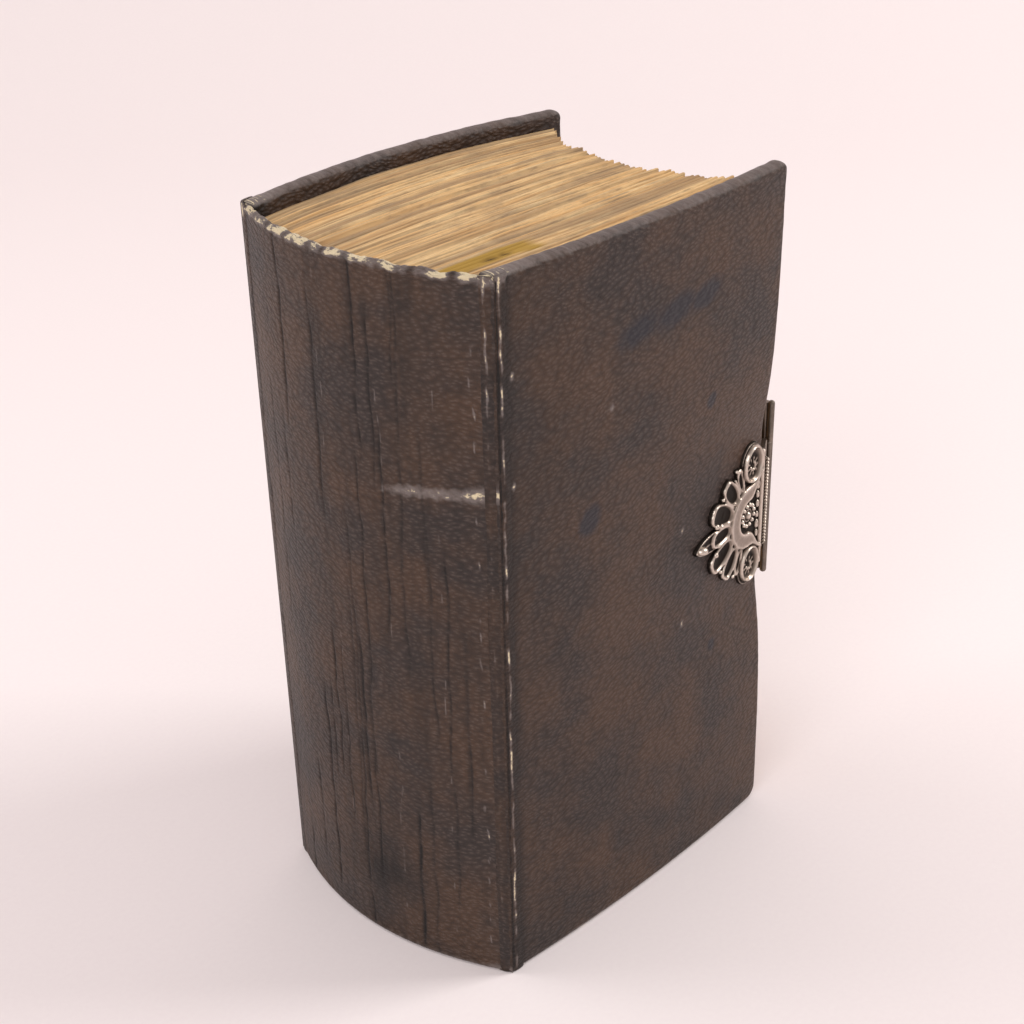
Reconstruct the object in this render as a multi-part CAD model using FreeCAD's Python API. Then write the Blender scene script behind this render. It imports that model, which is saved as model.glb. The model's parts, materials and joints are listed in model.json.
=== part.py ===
"""Antique leather-bound book with a cast silver clasp, standing on its tail.

Millimetres, +Z up. The spine faces -X, the front cover faces -Y, and the clasp closes round
the fore-edge at +X. Each cover turns about the joint where it meets the spine. The clasp strap
turns about a pin on the back cover's anchor plate.
"""
import FreeCAD, Part
import math
import os

from FreeCAD import Placement, Rotation, Vector

# Covers
COVER_HEIGHT = 150.0
COVER_WIDTH = 80.3
BOARD_THICKNESS = 2.8
LEATHER_THICKNESS = 0.6
PASTEDOWN_THICKNESS = 0.45
TURN_IN_WIDTH = 11.0
EDGE_BEVEL = 0.8
HEAD_CORNER_RADIUS = 1.6
TAIL_CORNER_RADIUS = 3.4

# How age has bent the book
JOINT_SPAN = 62.3
FORE_EDGE_SPAN = 59.8
FRONT_BOW = 1.8
BACK_BOW = 4.8
SPINE_LEAN = 4.0
CLASP_PINCH = 3.0
PINCH_FLAT_HALF = 16.0
PINCH_FADE = 13.0
PINCH_REACH = 43.0

# Spine and page block
SPINE_ROUND = 8.0
SPINE_LEATHER_THICKNESS = 0.9
CAP_WIDTH = 2.3
CAP_HEIGHT = 1.8
LINING_THICKNESS = 0.8
LINING_MARGIN = 7.0
TAPE_WIDTH = 10.0
TAPE_THICKNESS = 0.5
TAPE_COUNT = 3
TAPE_END_INSET = 1.0
HEAD_SQUARE = 3.3
FORE_EDGE_SQUARE = 3.2
FORE_EDGE_HOLLOW = 9.4
LEAF_STEPS = (0.4, -0.7, 0.5, -0.4, 0.0, 0.9, -0.5, 0.3)

# Running gaps
JOINT_GAP = 0.35
BLOCK_GAP = 0.35
SEAT_GAP = 0.02
PASTE_GAP = 0.12

# Clasp plates
CLASP_HEIGHT = 75.0
PLATE_THICKNESS = 0.7
PLATE_LIFT = 0.25
PLATE_EDGE_INSET = 1.5
MEDALLION_OFFSET = 11.6
MEDALLION_INSET = 5.6
MEDALLION_RADIUS = 3.9
MEDALLION_RIM = 0.6
MEDALLION_HEIGHT = 1.3
DISC_SIDES = 24
CRESCENT_INSET = 6.8
CRESCENT_OUTER_RADIUS = 7.0
CRESCENT_INNER_RADIUS = 3.7
CRESCENT_HEIGHT = 1.5
HORN_HALF_HEIGHT = 9.4
PETAL_RIM = 0.45
PETAL_HEIGHT = 1.25
PETAL_DISH = 0.6
PETAL_TUCK = 0.8
PETAL_TIP_RISE = 0.5
PETAL_TIP_SIDES = 5
GROUND_MARGIN = 5.2
ROSETTE_RADIUS = 2.3
ROSETTE_BEADS = 10
BEAD_RADIUS = 0.5
BEAD_SIDES = 6
BOSS_RADIUS = 1.9
BOSS_SIDES = 8
EDGE_RIDGE_RADIUS = 0.5
EDGE_RIDGE_SIDES = 8
EDGE_RIDGE_HALF_HEIGHT = 13.6
TIP_ROOT = 13.4
TIP_LENGTH = 5.6
TIP_HALF_WIDTH = 2.1
TIP_BALL_RADIUS = 1.15
NAIL_WIDTH = 0.6
NAIL_HEAD_RADIUS = 0.65
NAIL_HEAD_DOME = 0.7
NAIL_LENGTH = 3.2
NAIL_REACH = 12.9
NAIL_SPREAD = 3.3
TIP_NAIL_REACH = 16.9

# Catch round the front cover's edge
LIP_REACH = 3.6
LIP_DROP = 1.9
LIP_MIDDLE_REACH = 1.1
LIP_MIDDLE_DROP = 0.7
LIP_HALF_HEIGHT = 12.8
LIP_THICKNESS = 0.8
LIP_BEAD_RADIUS = 0.6
TWIST_RADIUS = 0.5
TWIST_HALF_HEIGHT = 10.3
CLAW_HALF_HEIGHT = 6.0
CLAW_THICKNESS = 0.7
EDGE_PLATE_THICKNESS = 0.7

# Strap and its hinge
STRAP_HEIGHT = 40.0
STRAP_THICKNESS = 0.8
STRAP_BOW = 1.3
STRAP_SLOT_DEPTH = 0.8
ROLL_RADIUS = 0.8
ROLL_REACH = 6.6
ROLL_DROP = 3.6
CATCH_GAP = 0.35
HINGE_REACH = 2.4
HINGE_DROP = 0.9
KNUCKLE_RADIUS = 1.4
KNUCKLE_COUNT = 3
KNUCKLE_LENGTH = 9.8
KNUCKLE_GAP = 0.2
PIN_RADIUS = 0.6
PIN_CLEARANCE = 0.06
PIN_HEAD_RADIUS = 1.0
PIN_HEAD_HEIGHT = 0.6
PIN_HEAD_SIDES = 12

# Worked-out sizes
COVER_THICKNESS = BOARD_THICKNESS + 2.0 * LEATHER_THICKNESS
BOARD_INNER_DEPTH = LEATHER_THICKNESS + BOARD_THICKNESS
JOINT_X = -COVER_WIDTH / 2.0 + SPINE_LEAN / 2.0
BLOCK_SPINE_DEPTH = SPINE_LEATHER_THICKNESS + LINING_THICKNESS
FRONT = -1
BACK = 1

Y_AXIS = Vector(0, 1, 0)
Z_AXIS = Vector(0, 0, 1)
ORIGIN = Vector(0, 0, 0)


def fuse_all(shapes):
    """One shape from several that overlap."""
    return shapes[0].multiFuse(shapes[1:]).removeSplitter()


def curve_edge(points):
    """A smooth edge through the points."""
    curve = Part.BSplineCurve()
    curve.interpolate(points)
    return curve.toShape()


def arc_edge(start, middle, end):
    """A circular edge through three points."""
    return Part.Arc(start, middle, end).toShape()


def line_edge(start, end):
    """A straight edge."""
    return Part.LineSegment(start, end).toShape()


def cut_edges(curve, sides):
    """A curve cut into straight sides."""
    points = curve.discretize(sides + 1)
    return [line_edge(a, b) for a, b in zip(points[:-1], points[1:])]


def prism(edges, direction):
    """A solid pushed from the face inside closed edges."""
    return Part.Face(Part.Wire(edges)).extrude(direction)


def levels():
    """Heights of a pinched cover's sections: closer together round the clasp."""
    steps = (-PINCH_REACH, -PINCH_FLAT_HALF, PINCH_FLAT_HALF, PINCH_REACH)
    return [0.0] + [CLASP_HEIGHT + step for step in steps] + [COVER_HEIGHT]


def between(low, high):
    """All the room between two heights."""
    reach = COVER_WIDTH + JOINT_SPAN
    return Part.makeBox(2.0 * reach, 2.0 * reach, high - low, Vector(-reach, -reach, low))


def lean_at(y):
    """How far the leaning book has slipped toward the spine at y."""
    return -SPINE_LEAN * (y + JOINT_SPAN / 2.0) / JOINT_SPAN


def joint_x(side):
    """Where a cover starts, at its joint."""
    return JOINT_X + lean_at(side * JOINT_SPAN / 2.0)


def pinch_at(z):
    """How hard the clasp has pulled the cover in at height z, from 0 to 1."""
    beyond = max(0.0, abs(z - CLASP_HEIGHT) - PINCH_FLAT_HALF)
    return 1.0 / (1.0 + (beyond / PINCH_FADE) ** 2)


def face_y(side, along, z):
    """Distance of a cover's outside face from mid-thickness, along mm from its joint."""
    share = along / COVER_WIDTH
    bow = FRONT_BOW if side == FRONT else BACK_BOW
    pinch = CLASP_PINCH * pinch_at(z) if side == FRONT else 0.0
    straight = JOINT_SPAN / 2.0 + (FORE_EDGE_SPAN - JOINT_SPAN) / 2.0 * share
    return straight + 4.0 * bow * share * (1.0 - share) - pinch * share ** 2


def cover_point(side, along, depth, z):
    """A point of a cover, depth mm in from its outside face."""
    return Vector(joint_x(side) + along, side * (face_y(side, along, z) - depth), z)


def cover_curve(side, start, end, depth, z):
    """A cover's bent line at one height."""
    places = [cover_point(side, along, depth, z) for along in (start, (start + end) / 2.0, end)]
    return arc_edge(*places)


def slab_wire(side, start, end, outer, inner, z, bevel):
    """The section of a bent slab at one height, with a bevelled fore-edge where asked."""
    turn = end - bevel
    corners = [cover_point(side, turn, outer, z), cover_point(side, end, outer + bevel, z),
               cover_point(side, end, inner - bevel, z), cover_point(side, turn, inner, z)]
    if not bevel:
        corners = corners[1:3]
    edges = [cover_curve(side, start, turn, outer, z)]
    edges += [line_edge(a, b) for a, b in zip(corners[:-1], corners[1:])]
    edges.append(cover_curve(side, turn, start, inner, z))
    edges.append(line_edge(cover_point(side, start, inner, z), cover_point(side, start, outer, z)))
    return Part.Wire(edges)


def slab(side, start, end, outer, inner, bevel=0.0):
    """A full-height slab bent like its cover. Only the front cover is pinched."""
    if side == BACK:
        wire = slab_wire(side, start, end, outer, inner, 0.0, bevel)
        return Part.Face(wire).extrude(Vector(0, 0, COVER_HEIGHT))
    wires = [slab_wire(side, start, end, outer, inner, z, bevel) for z in levels()]
    return Part.makeLoft(wires, True, True)


def corner_waste(side, radius, at_head):
    """What rubbing has taken off a cover's fore-edge corner."""
    x = joint_x(side) + COVER_WIDTH
    z = COVER_HEIGHT if at_head else 0.0
    up = 1.0 if at_head else -1.0
    reach = JOINT_SPAN
    block = Part.makeBox(radius + 1.0, 2.0 * reach, radius + 1.0)
    block.translate(Vector(x - radius, -reach, z - radius if at_head else -1.0))
    centre = Vector(x - radius, -reach, z - up * radius)
    return block.cut(Part.makeCylinder(radius, 2.0 * reach, centre, Y_AXIS))


def worn(side, shape):
    """A cover piece with both fore-edge corners rounded by wear."""
    shape = shape.cut(corner_waste(side, HEAD_CORNER_RADIUS, True))
    return shape.cut(corner_waste(side, TAIL_CORNER_RADIUS, False))


def board(side):
    """The pasteboard inside a cover, with its corners rounded inside the leather."""
    shape = slab(side, JOINT_GAP + LEATHER_THICKNESS, COVER_WIDTH - LEATHER_THICKNESS,
                 LEATHER_THICKNESS, BOARD_INNER_DEPTH)
    shape = shape.common(between(LEATHER_THICKNESS, COVER_HEIGHT - LEATHER_THICKNESS))
    for radius, at_head in ((HEAD_CORNER_RADIUS, True), (TAIL_CORNER_RADIUS, False)):
        waste = corner_waste(side, radius, at_head)
        rise = -LEATHER_THICKNESS if at_head else LEATHER_THICKNESS
        waste.translate(Vector(-LEATHER_THICKNESS, 0, rise))
        shape = shape.cut(waste)
    return shape


def window(side, outer, inner, gap=0.0):
    """The field inside the turned-in leather, where the pastedown lies."""
    edge = TURN_IN_WIDTH + gap
    return slab(side, edge, COVER_WIDTH - edge, outer, inner).common(
        between(edge, COVER_HEIGHT - edge))


def cover_leather(side, board_shape):
    """Leather over the outside and edges of a board, turned in round the inside."""
    skin = slab(side, JOINT_GAP, COVER_WIDTH, 0.0, COVER_THICKNESS, EDGE_BEVEL)
    skin = worn(side, skin).cut(board_shape)
    mid_board = LEATHER_THICKNESS + BOARD_THICKNESS / 2.0
    return skin.cut(window(side, mid_board, COVER_THICKNESS + LEATHER_THICKNESS))


def pastedown(side):
    """The paper leaf pasted inside a cover."""
    outer = BOARD_INNER_DEPTH + PASTE_GAP
    return window(side, outer, outer + PASTEDOWN_THICKNESS, PASTE_GAP)


def spine_point(depth, y, z):
    """A point on the rounded spine, depth mm in from the leather's outside."""
    half = JOINT_SPAN / 2.0 - 1.2 * depth
    stand = (SPINE_ROUND - depth) * (1.0 - min(1.0, abs(y) / half) ** 2)
    return Vector(JOINT_X + lean_at(y) - stand, y, z)


def spine_curve(depth, y_start, y_end, z):
    """The rounded line of the spine between two places."""
    places = [spine_point(depth, y, z) for y in (y_start, (y_start + y_end) / 2.0, y_end)]
    return arc_edge(*places)


def spine_band(outer, inner, half, low, high):
    """A band curved round the spine, between two depths and two heights."""
    outer_half = min(half, JOINT_SPAN / 2.0 - 1.2 * outer)
    inner_half = min(half, JOINT_SPAN / 2.0 - 1.2 * inner)
    edges = [
        spine_curve(outer, -outer_half, outer_half, low),
        line_edge(spine_point(outer, outer_half, low), spine_point(inner, inner_half, low)),
        spine_curve(inner, inner_half, -inner_half, low),
        line_edge(spine_point(inner, -inner_half, low), spine_point(outer, -outer_half, low)),
    ]
    return prism(edges, Vector(0, 0, high - low))


def spine_leather():
    """Leather over the spine, turned in to a cap at head and tail."""
    half = JOINT_SPAN / 2.0
    skin = spine_band(0.0, SPINE_LEATHER_THICKNESS, half, 0.0, COVER_HEIGHT)
    cap_half = half - COVER_THICKNESS
    tail = spine_band(SPINE_LEATHER_THICKNESS / 2.0, CAP_WIDTH, cap_half, 0.0, CAP_HEIGHT)
    head = spine_band(SPINE_LEATHER_THICKNESS / 2.0, CAP_WIDTH, cap_half,
                      COVER_HEIGHT - CAP_HEIGHT, COVER_HEIGHT)
    return fuse_all([skin, tail, head])


def block_half():
    """Half the page block's thickness where it meets the spine."""
    return JOINT_SPAN / 2.0 - COVER_THICKNESS - BLOCK_GAP


def spine_lining():
    """The lining glued to the backs of the gatherings."""
    return spine_band(SPINE_LEATHER_THICKNESS + SEAT_GAP, BLOCK_SPINE_DEPTH - SEAT_GAP,
                      block_half(), LINING_MARGIN, COVER_HEIGHT - LINING_MARGIN)


def tape_levels():
    """Where each sewing tape starts, evenly up the spine."""
    pitch = COVER_HEIGHT / (TAPE_COUNT + 1.0)
    return [pitch * (i + 1) - TAPE_WIDTH / 2.0 for i in range(TAPE_COUNT)]


def tape_bands(gap):
    """The sewing tapes, or the room that they take with a gap round them."""
    inner = BLOCK_SPINE_DEPTH + TAPE_THICKNESS + gap
    half = block_half() - TAPE_END_INSET + gap
    return [spine_band(BLOCK_SPINE_DEPTH - gap, inner, half, low - gap, low + TAPE_WIDTH + gap)
            for low in tape_levels()]


def leaf_edge_points(front_y, back_y):
    """The hollow fore-edge, stepped where groups of leaves have slipped."""
    span = back_y - front_y
    middle = (back_y + front_y) / 2.0
    points = []
    for i, step in enumerate(LEAF_STEPS):
        for share in (0.0, 1.0):
            y = front_y + span * (i + share) / len(LEAF_STEPS)
            sink = FORE_EDGE_HOLLOW * (1.0 - (abs(y - middle) / (span / 2.0)) ** 2)
            edge = JOINT_X + COVER_WIDTH + lean_at(y) - FORE_EDGE_SQUARE
            points.append(Vector(edge - sink + step, y, HEAD_SQUARE))
    return points


def block_edges():
    """The page block's outline, before the pinched cover presses into it."""
    half = block_half()
    front_start = spine_point(BLOCK_SPINE_DEPTH, -half, HEAD_SQUARE)
    back_start = spine_point(BLOCK_SPINE_DEPTH, half, HEAD_SQUARE)
    depth = COVER_THICKNESS + BLOCK_GAP
    reach = COVER_WIDTH - FORE_EDGE_SQUARE
    front_end = cover_point(FRONT, reach, depth, 0.0)
    back_end = cover_point(BACK, reach, depth, 0.0)
    front_middle = cover_point(FRONT, reach / 2.0, depth, HEAD_SQUARE)
    back_middle = cover_point(BACK, reach / 2.0, depth, HEAD_SQUARE)
    edge = leaf_edge_points(front_end.y, back_end.y)
    edges = [arc_edge(front_start, front_middle, edge[0])]
    edges += [line_edge(a, b) for a, b in zip(edge[:-1], edge[1:])]
    edges.append(arc_edge(edge[-1], back_middle, back_start))
    edges.append(spine_curve(BLOCK_SPINE_DEPTH, half, -half, HEAD_SQUARE))
    return edges


def text_block():
    """All the leaves as one block: round at the spine and hollow at the fore-edge."""
    block = prism(block_edges(), Vector(0, 0, COVER_HEIGHT - 2.0 * HEAD_SQUARE))
    block = block.cut(slab(FRONT, 0.0, COVER_WIDTH, 0.0, COVER_THICKNESS + BLOCK_GAP))
    for room in tape_bands(SEAT_GAP):
        block = block.cut(room)
    return block


def plate_frame(side):
    """Placement of a clasp plate: local +X leaves the fore-edge, local -Y leaves the leather."""
    inboard = CRESCENT_INSET + CRESCENT_OUTER_RADIUS * 2.0
    edge = face_y(side, COVER_WIDTH, CLASP_HEIGHT)
    rise = face_y(side, COVER_WIDTH - inboard, CLASP_HEIGHT) - edge
    tilt = math.degrees(math.atan2(rise, inboard))
    at = Vector(joint_x(side) + COVER_WIDTH, side * edge, CLASP_HEIGHT)
    return Placement(at, Rotation(Z_AXIS, -side * tilt))


def placed(side, shape):
    """A clasp piece moved from the plate's own frame onto its cover."""
    shape = shape.copy() if side == FRONT else shape.mirror(ORIGIN, Y_AXIS)
    shape.Placement = plate_frame(side).multiply(shape.Placement)
    return shape


def world_point(side, x, y):
    """A point of the plate's frame in the book's frame, at clasp height."""
    return plate_frame(side).multVec(Vector(x, y if side == FRONT else -y, 0))


def upright(edges, foot, top):
    """A relief raised from the plate, from foot to top above the leather."""
    return prism(edges, Vector(0, foot - top, 0)).translated(Vector(0, -foot, 0))


def disc(x, z, radius, foot, top):
    """A round relief on the plate, filed to many sides."""
    ring = Part.makeCircle(radius, Vector(x, 0, z), Y_AXIS)
    return upright(cut_edges(ring, DISC_SIDES), foot, top)


def bead(x, z, radius, sides, foot, top):
    """A small cut bead on the plate, half as wide at its top as at its foot."""
    rings = []
    for share, y in ((1.0, -foot), (0.5, -top)):
        turns = [2.0 * math.pi * i / sides for i in range(sides + 1)]
        rings.append(Part.makePolygon([Vector(x + share * radius * math.cos(turn), y,
                                              z + share * radius * math.sin(turn))
                                       for turn in turns]))
    return Part.makeLoft(rings, True, True)


def cut_rod(foot, radius, height, sides):
    """An upright rod with flat sides, from the middle of its foot."""
    turns = [2.0 * math.pi * (i + 0.5) / sides for i in range(sides + 1)]
    ring = [foot + Vector(radius * math.cos(turn), radius * math.sin(turn), 0) for turn in turns]
    return Part.Face(Part.makePolygon(ring)).extrude(Vector(0, 0, height))


def petal_edges(angle, near, far, half_width, inset):
    """Outline of a petal that points away from the crescent's centre."""
    half = half_width - inset
    shoulder = far - half_width * PETAL_TIP_RISE
    start = near + inset
    foot_half = half_width * 0.45 - inset * 0.5
    out = Vector(-math.cos(angle), 0, math.sin(angle))
    across = Vector(math.sin(angle), 0, math.cos(angle))
    hub = Vector(-CRESCENT_INSET, 0, 0)
    foot_a = hub + out * start + across * foot_half
    foot_b = hub + out * start - across * foot_half
    side_a = hub + out * shoulder + across * half
    side_b = hub + out * shoulder - across * half
    top = hub + out * (far - inset)
    tip = cut_edges(arc_edge(side_a, top, side_b), PETAL_TIP_SIDES)
    return [line_edge(foot_a, side_a)] + tip + [line_edge(side_b, foot_b),
                                                line_edge(foot_b, foot_a)]


def petal_plan():
    """Angle from the plate's middle line, outer reach and half width of each petal."""
    half_plan = ((25.0, 15.6, 2.6), (50.0, 14.4, 2.1), (72.0, 12.6, 1.35))
    plan = [(0.0, 14.2, 1.8)]
    for degrees, reach, half_width in half_plan:
        plan.append((degrees, reach, half_width))
        plan.append((-degrees, reach, half_width))
    return [(math.radians(degrees), reach, half) for degrees, reach, half in plan]


def petals(foot):
    """The shell's dished petals."""
    near = CRESCENT_OUTER_RADIUS - PETAL_TUCK
    solids = []
    for angle, reach, half_width in petal_plan():
        leaf = upright(petal_edges(angle, near, reach, half_width, 0.0), foot, PETAL_HEIGHT)
        dish = upright(petal_edges(angle, near, reach, half_width, PETAL_RIM),
                       PETAL_HEIGHT - PETAL_DISH, PETAL_HEIGHT + 1.0)
        solids.append(leaf.cut(dish))
    return solids


def crescent_edges():
    """Outline of the smooth crescent, with horns that reach the plate's straight edge."""
    tip_x = -PLATE_EDGE_INSET - 0.4
    outer = CRESCENT_OUTER_RADIUS
    inner = CRESCENT_INNER_RADIUS
    hub = -CRESCENT_INSET
    horn = Vector(tip_x, 0, HORN_HALF_HEIGHT)
    shoulder = Vector(hub, 0, outer)
    waist = Vector(hub, 0, inner)
    outer_mid = Vector((tip_x + hub) / 2.0, 0, outer + 0.1 * (HORN_HALF_HEIGHT - outer))
    inner_mid = Vector((tip_x + hub) / 2.0, 0, inner + 0.35 * (HORN_HALF_HEIGHT - inner))

    def flip(point):
        return Vector(point.x, 0, -point.z)

    return [
        curve_edge([horn, outer_mid, shoulder]),
        arc_edge(shoulder, Vector(hub - outer, 0, 0), flip(shoulder)),
        curve_edge([flip(shoulder), flip(outer_mid), flip(horn)]),
        curve_edge([flip(horn), flip(inner_mid), flip(waist)]),
        arc_edge(flip(waist), Vector(hub - inner, 0, 0), waist),
        curve_edge([waist, inner_mid, horn]),
    ]


def medallion(z, foot):
    """A round dish with a raised rim and a boss."""
    x = -MEDALLION_INSET
    body = disc(x, z, MEDALLION_RADIUS, foot, MEDALLION_HEIGHT)
    dish = disc(x, z, MEDALLION_RADIUS - MEDALLION_RIM, PLATE_THICKNESS, MEDALLION_HEIGHT + 1.0)
    boss = bead(x, z, BOSS_RADIUS, BOSS_SIDES, foot, MEDALLION_HEIGHT)
    return body.cut(dish).fuse(boss)


def rosette(foot):
    """A domed centre inside a ring of beads."""
    x = -CRESCENT_INSET + 0.4
    solids = [bead(x, 0, BOSS_RADIUS / 2.0, BOSS_SIDES, foot, PETAL_HEIGHT)]
    for i in range(ROSETTE_BEADS):
        angle = 2.0 * math.pi * i / ROSETTE_BEADS
        bead_x = x + ROSETTE_RADIUS * math.cos(angle)
        bead_z = ROSETTE_RADIUS * math.sin(angle)
        solids.append(bead(bead_x, bead_z, BEAD_RADIUS, BEAD_SIDES, foot, PETAL_HEIGHT))
    return solids


def tip_edges():
    """Outline of the leaf that ends the plate in a point."""
    root = -CRESCENT_INSET - TIP_ROOT
    end = root - TIP_LENGTH
    half = TIP_HALF_WIDTH
    return [
        curve_edge([Vector(root, 0, half), Vector(root - TIP_LENGTH * 0.45, 0, half * 0.8),
                    Vector(end, 0, 0)]),
        curve_edge([Vector(end, 0, 0), Vector(root - TIP_LENGTH * 0.45, 0, -half * 0.8),
                    Vector(root, 0, -half)]),
        line_edge(Vector(root, 0, -half), Vector(root, 0, half)),
    ]


def plate_ground(foot):
    """The flat ground that joins the reliefs."""
    radius = CRESCENT_OUTER_RADIUS + GROUND_MARGIN
    field = disc(-CRESCENT_INSET, 0, radius, foot, PLATE_THICKNESS)
    beyond_edge = Part.makeBox(radius, 2.0 * radius, 2.0 * radius,
                               Vector(-PLATE_EDGE_INSET, -radius, -radius))
    return field.cut(beyond_edge)


def nail_places():
    """Where nails hold a clasp plate: beside the middle petal and under the tip's ball."""
    side_x = -CRESCENT_INSET - NAIL_REACH
    tip_x = -CRESCENT_INSET - TIP_NAIL_REACH
    return [(side_x, NAIL_SPREAD, False), (side_x, -NAIL_SPREAD, False), (tip_x, 0.0, True)]


def clasp_plate():
    """The cast shell plate: petals, two medallions, crescent, rosette and straight ridge."""
    foot = -PLATE_LIFT
    ridge_foot = Vector(-PLATE_EDGE_INSET, -PLATE_THICKNESS, -EDGE_RIDGE_HALF_HEIGHT)
    ridge = cut_rod(ridge_foot, EDGE_RIDGE_RADIUS, 2.0 * EDGE_RIDGE_HALF_HEIGHT,
                    EDGE_RIDGE_SIDES)
    solids = [plate_ground(foot)]
    solids += petals(foot)
    solids += [medallion(MEDALLION_OFFSET, foot), medallion(-MEDALLION_OFFSET, foot)]
    solids.append(upright(crescent_edges(), foot, CRESCENT_HEIGHT))
    solids += rosette(foot)
    solids.append(upright(tip_edges(), foot, PETAL_HEIGHT))
    solids.append(ridge)
    plate = fuse_all(solids)
    for hole in nail_room():
        plate = plate.cut(hole)
    return plate


def nail_shank(x, z, gap, tip, top):
    """A nail's square shank, or with a gap the hole that it needs."""
    half = NAIL_WIDTH / 2.0 + gap
    return Part.makeBox(2.0 * half, top - tip, 2.0 * half, Vector(x - half, -top, z - half))


def nail_room():
    """The holes that the nails need in plate, leather and board."""
    return [nail_shank(x, z, SEAT_GAP, -NAIL_LENGTH, NAIL_LENGTH) for x, z, _ in nail_places()]


def clasp_nails():
    """Two small nails and the big-headed nail in the tip."""
    nails = []
    top = PETAL_HEIGHT + SEAT_GAP
    for x, z, is_tip in nail_places():
        radius = TIP_BALL_RADIUS if is_tip else NAIL_HEAD_RADIUS
        height = radius * NAIL_HEAD_DOME
        shank = nail_shank(x, z, 0.0, top - NAIL_LENGTH, top + height / 2.0)
        nails.append(shank.fuse(bead(x, z, radius, BOSS_SIDES, top, top + height)))
    return nails


def lip_line():
    """Middle line of the lip's sheet: at the plate, under the twisted wire, at the bead."""
    return [Vector(-PLATE_EDGE_INSET, -LIP_THICKNESS / 2.0, 0),
            Vector(LIP_MIDDLE_REACH, LIP_MIDDLE_DROP, 0), Vector(LIP_REACH, LIP_DROP, 0)]


def lip_normal():
    """The way that the lip's outside faces."""
    along = lip_line()[2] - lip_line()[0]
    return Vector(along.y, -along.x, 0).normalize()


def catch_lip():
    """The lip soldered to the front plate, folded round the cover's edge to a claw."""
    high = Vector(0, 0, 2.0 * LIP_HALF_HEIGHT)
    half = lip_normal() * (LIP_THICKNESS / 2.0)
    line = [point - high * 0.5 for point in lip_line()]
    outer = [point + half for point in line]
    inner = [point - half for point in line]
    sheet = prism([curve_edge(outer), line_edge(outer[-1], inner[-1]), curve_edge(inner[::-1]),
                   line_edge(inner[0], outer[0])], high)
    bead = Part.makeCylinder(LIP_BEAD_RADIUS, high.z, line[-1], Z_AXIS)
    claw_y = ROLL_DROP + ROLL_RADIUS + CATCH_GAP
    claw_end = ROLL_REACH - ROLL_RADIUS - CATCH_GAP
    tall = 2.0 * CLAW_HALF_HEIGHT
    start = Vector(EDGE_BEVEL / 4.0, LIP_MIDDLE_DROP / 2.0, -CLAW_HALF_HEIGHT)
    edge_plate = Part.makeBox(EDGE_PLATE_THICKNESS, claw_y + CLAW_THICKNESS - start.y, tall,
                              start)
    claw = Part.makeBox(claw_end - start.x, CLAW_THICKNESS, tall,
                        Vector(start.x, claw_y, start.z))
    return fuse_all([sheet, bead, edge_plate, claw])


def catch_twist():
    """The twisted wire laid along the lip."""
    lift = lip_normal() * (LIP_THICKNESS / 2.0 + TWIST_RADIUS + SEAT_GAP)
    start = lip_line()[1] + lift - Vector(0, 0, TWIST_HALF_HEIGHT)
    return Part.makeCylinder(TWIST_RADIUS, 2.0 * TWIST_HALF_HEIGHT, start, Z_AXIS)


def hinge_axis():
    """The strap's hinge axis, in the book's frame at clasp height."""
    return world_point(BACK, HINGE_REACH, HINGE_DROP)


def knuckle_span(index):
    """Lowest and highest point of one knuckle, measured from clasp height."""
    pitch = KNUCKLE_LENGTH + KNUCKLE_GAP
    low = (index - KNUCKLE_COUNT / 2.0) * pitch + KNUCKLE_GAP / 2.0
    return low, low + KNUCKLE_LENGTH


def knuckle_half_height():
    """Half the height of the whole row of knuckles."""
    return knuckle_span(KNUCKLE_COUNT - 1)[1]


def anchor_knuckles():
    """The anchor plate's knuckles, each on a leaf that starts at the plate's ridge."""
    solids = []
    for index in range(0, KNUCKLE_COUNT, 2):
        low, high = knuckle_span(index)
        ring = Part.makeCylinder(KNUCKLE_RADIUS, high - low, Vector(HINGE_REACH, HINGE_DROP, low),
                                 Z_AXIS)
        leaf = Part.makeBox(HINGE_REACH + PLATE_EDGE_INSET, PLATE_THICKNESS, high - low,
                            Vector(-PLATE_EDGE_INSET, -PLATE_THICKNESS, low))
        solids += [ring, leaf]
    bore = Part.makeCylinder(PIN_RADIUS + PIN_CLEARANCE, 2.0 * COVER_HEIGHT,
                             Vector(HINGE_REACH, HINGE_DROP, -COVER_HEIGHT), Z_AXIS)
    return solids, bore


def anchor_plate():
    """The back cover's shell plate with its hinge knuckles."""
    knuckles, bore = anchor_knuckles()
    return fuse_all([clasp_plate()] + knuckles).cut(bore)


def hinge_pin():
    """The strap's hinge pin with a small head at each end."""
    at = hinge_axis()
    reach = knuckle_half_height() + KNUCKLE_GAP
    pin = Part.makeCylinder(PIN_RADIUS, 2.0 * reach, at - Vector(0, 0, reach), Z_AXIS)
    heads = [cut_rod(at + Vector(0, 0, low), PIN_HEAD_RADIUS, PIN_HEAD_HEIGHT, PIN_HEAD_SIDES)
             for low in (reach, -reach - PIN_HEAD_HEIGHT)]
    return fuse_all([pin] + heads)


def thick_arc(start, end, bow, thickness, low, high):
    """A bowed sheet between two points, standing from low to high."""
    chord = (end - start).normalize()
    normal = Vector(chord.y, -chord.x, 0)
    if normal.x < 0:
        normal = normal * -1.0
    middle = (start + end) * 0.5 + normal * bow
    half = normal * (thickness / 2.0)
    lift = Vector(0, 0, low - start.z)
    points = [point + lift for point in (start + half, middle + half, end + half, end - half,
                                         middle - half, start - half)]
    edges = [arc_edge(points[0], points[1], points[2]), line_edge(points[2], points[3]),
             arc_edge(points[3], points[4], points[5]), line_edge(points[5], points[0])]
    return prism(edges, Vector(0, 0, high - low))


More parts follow.
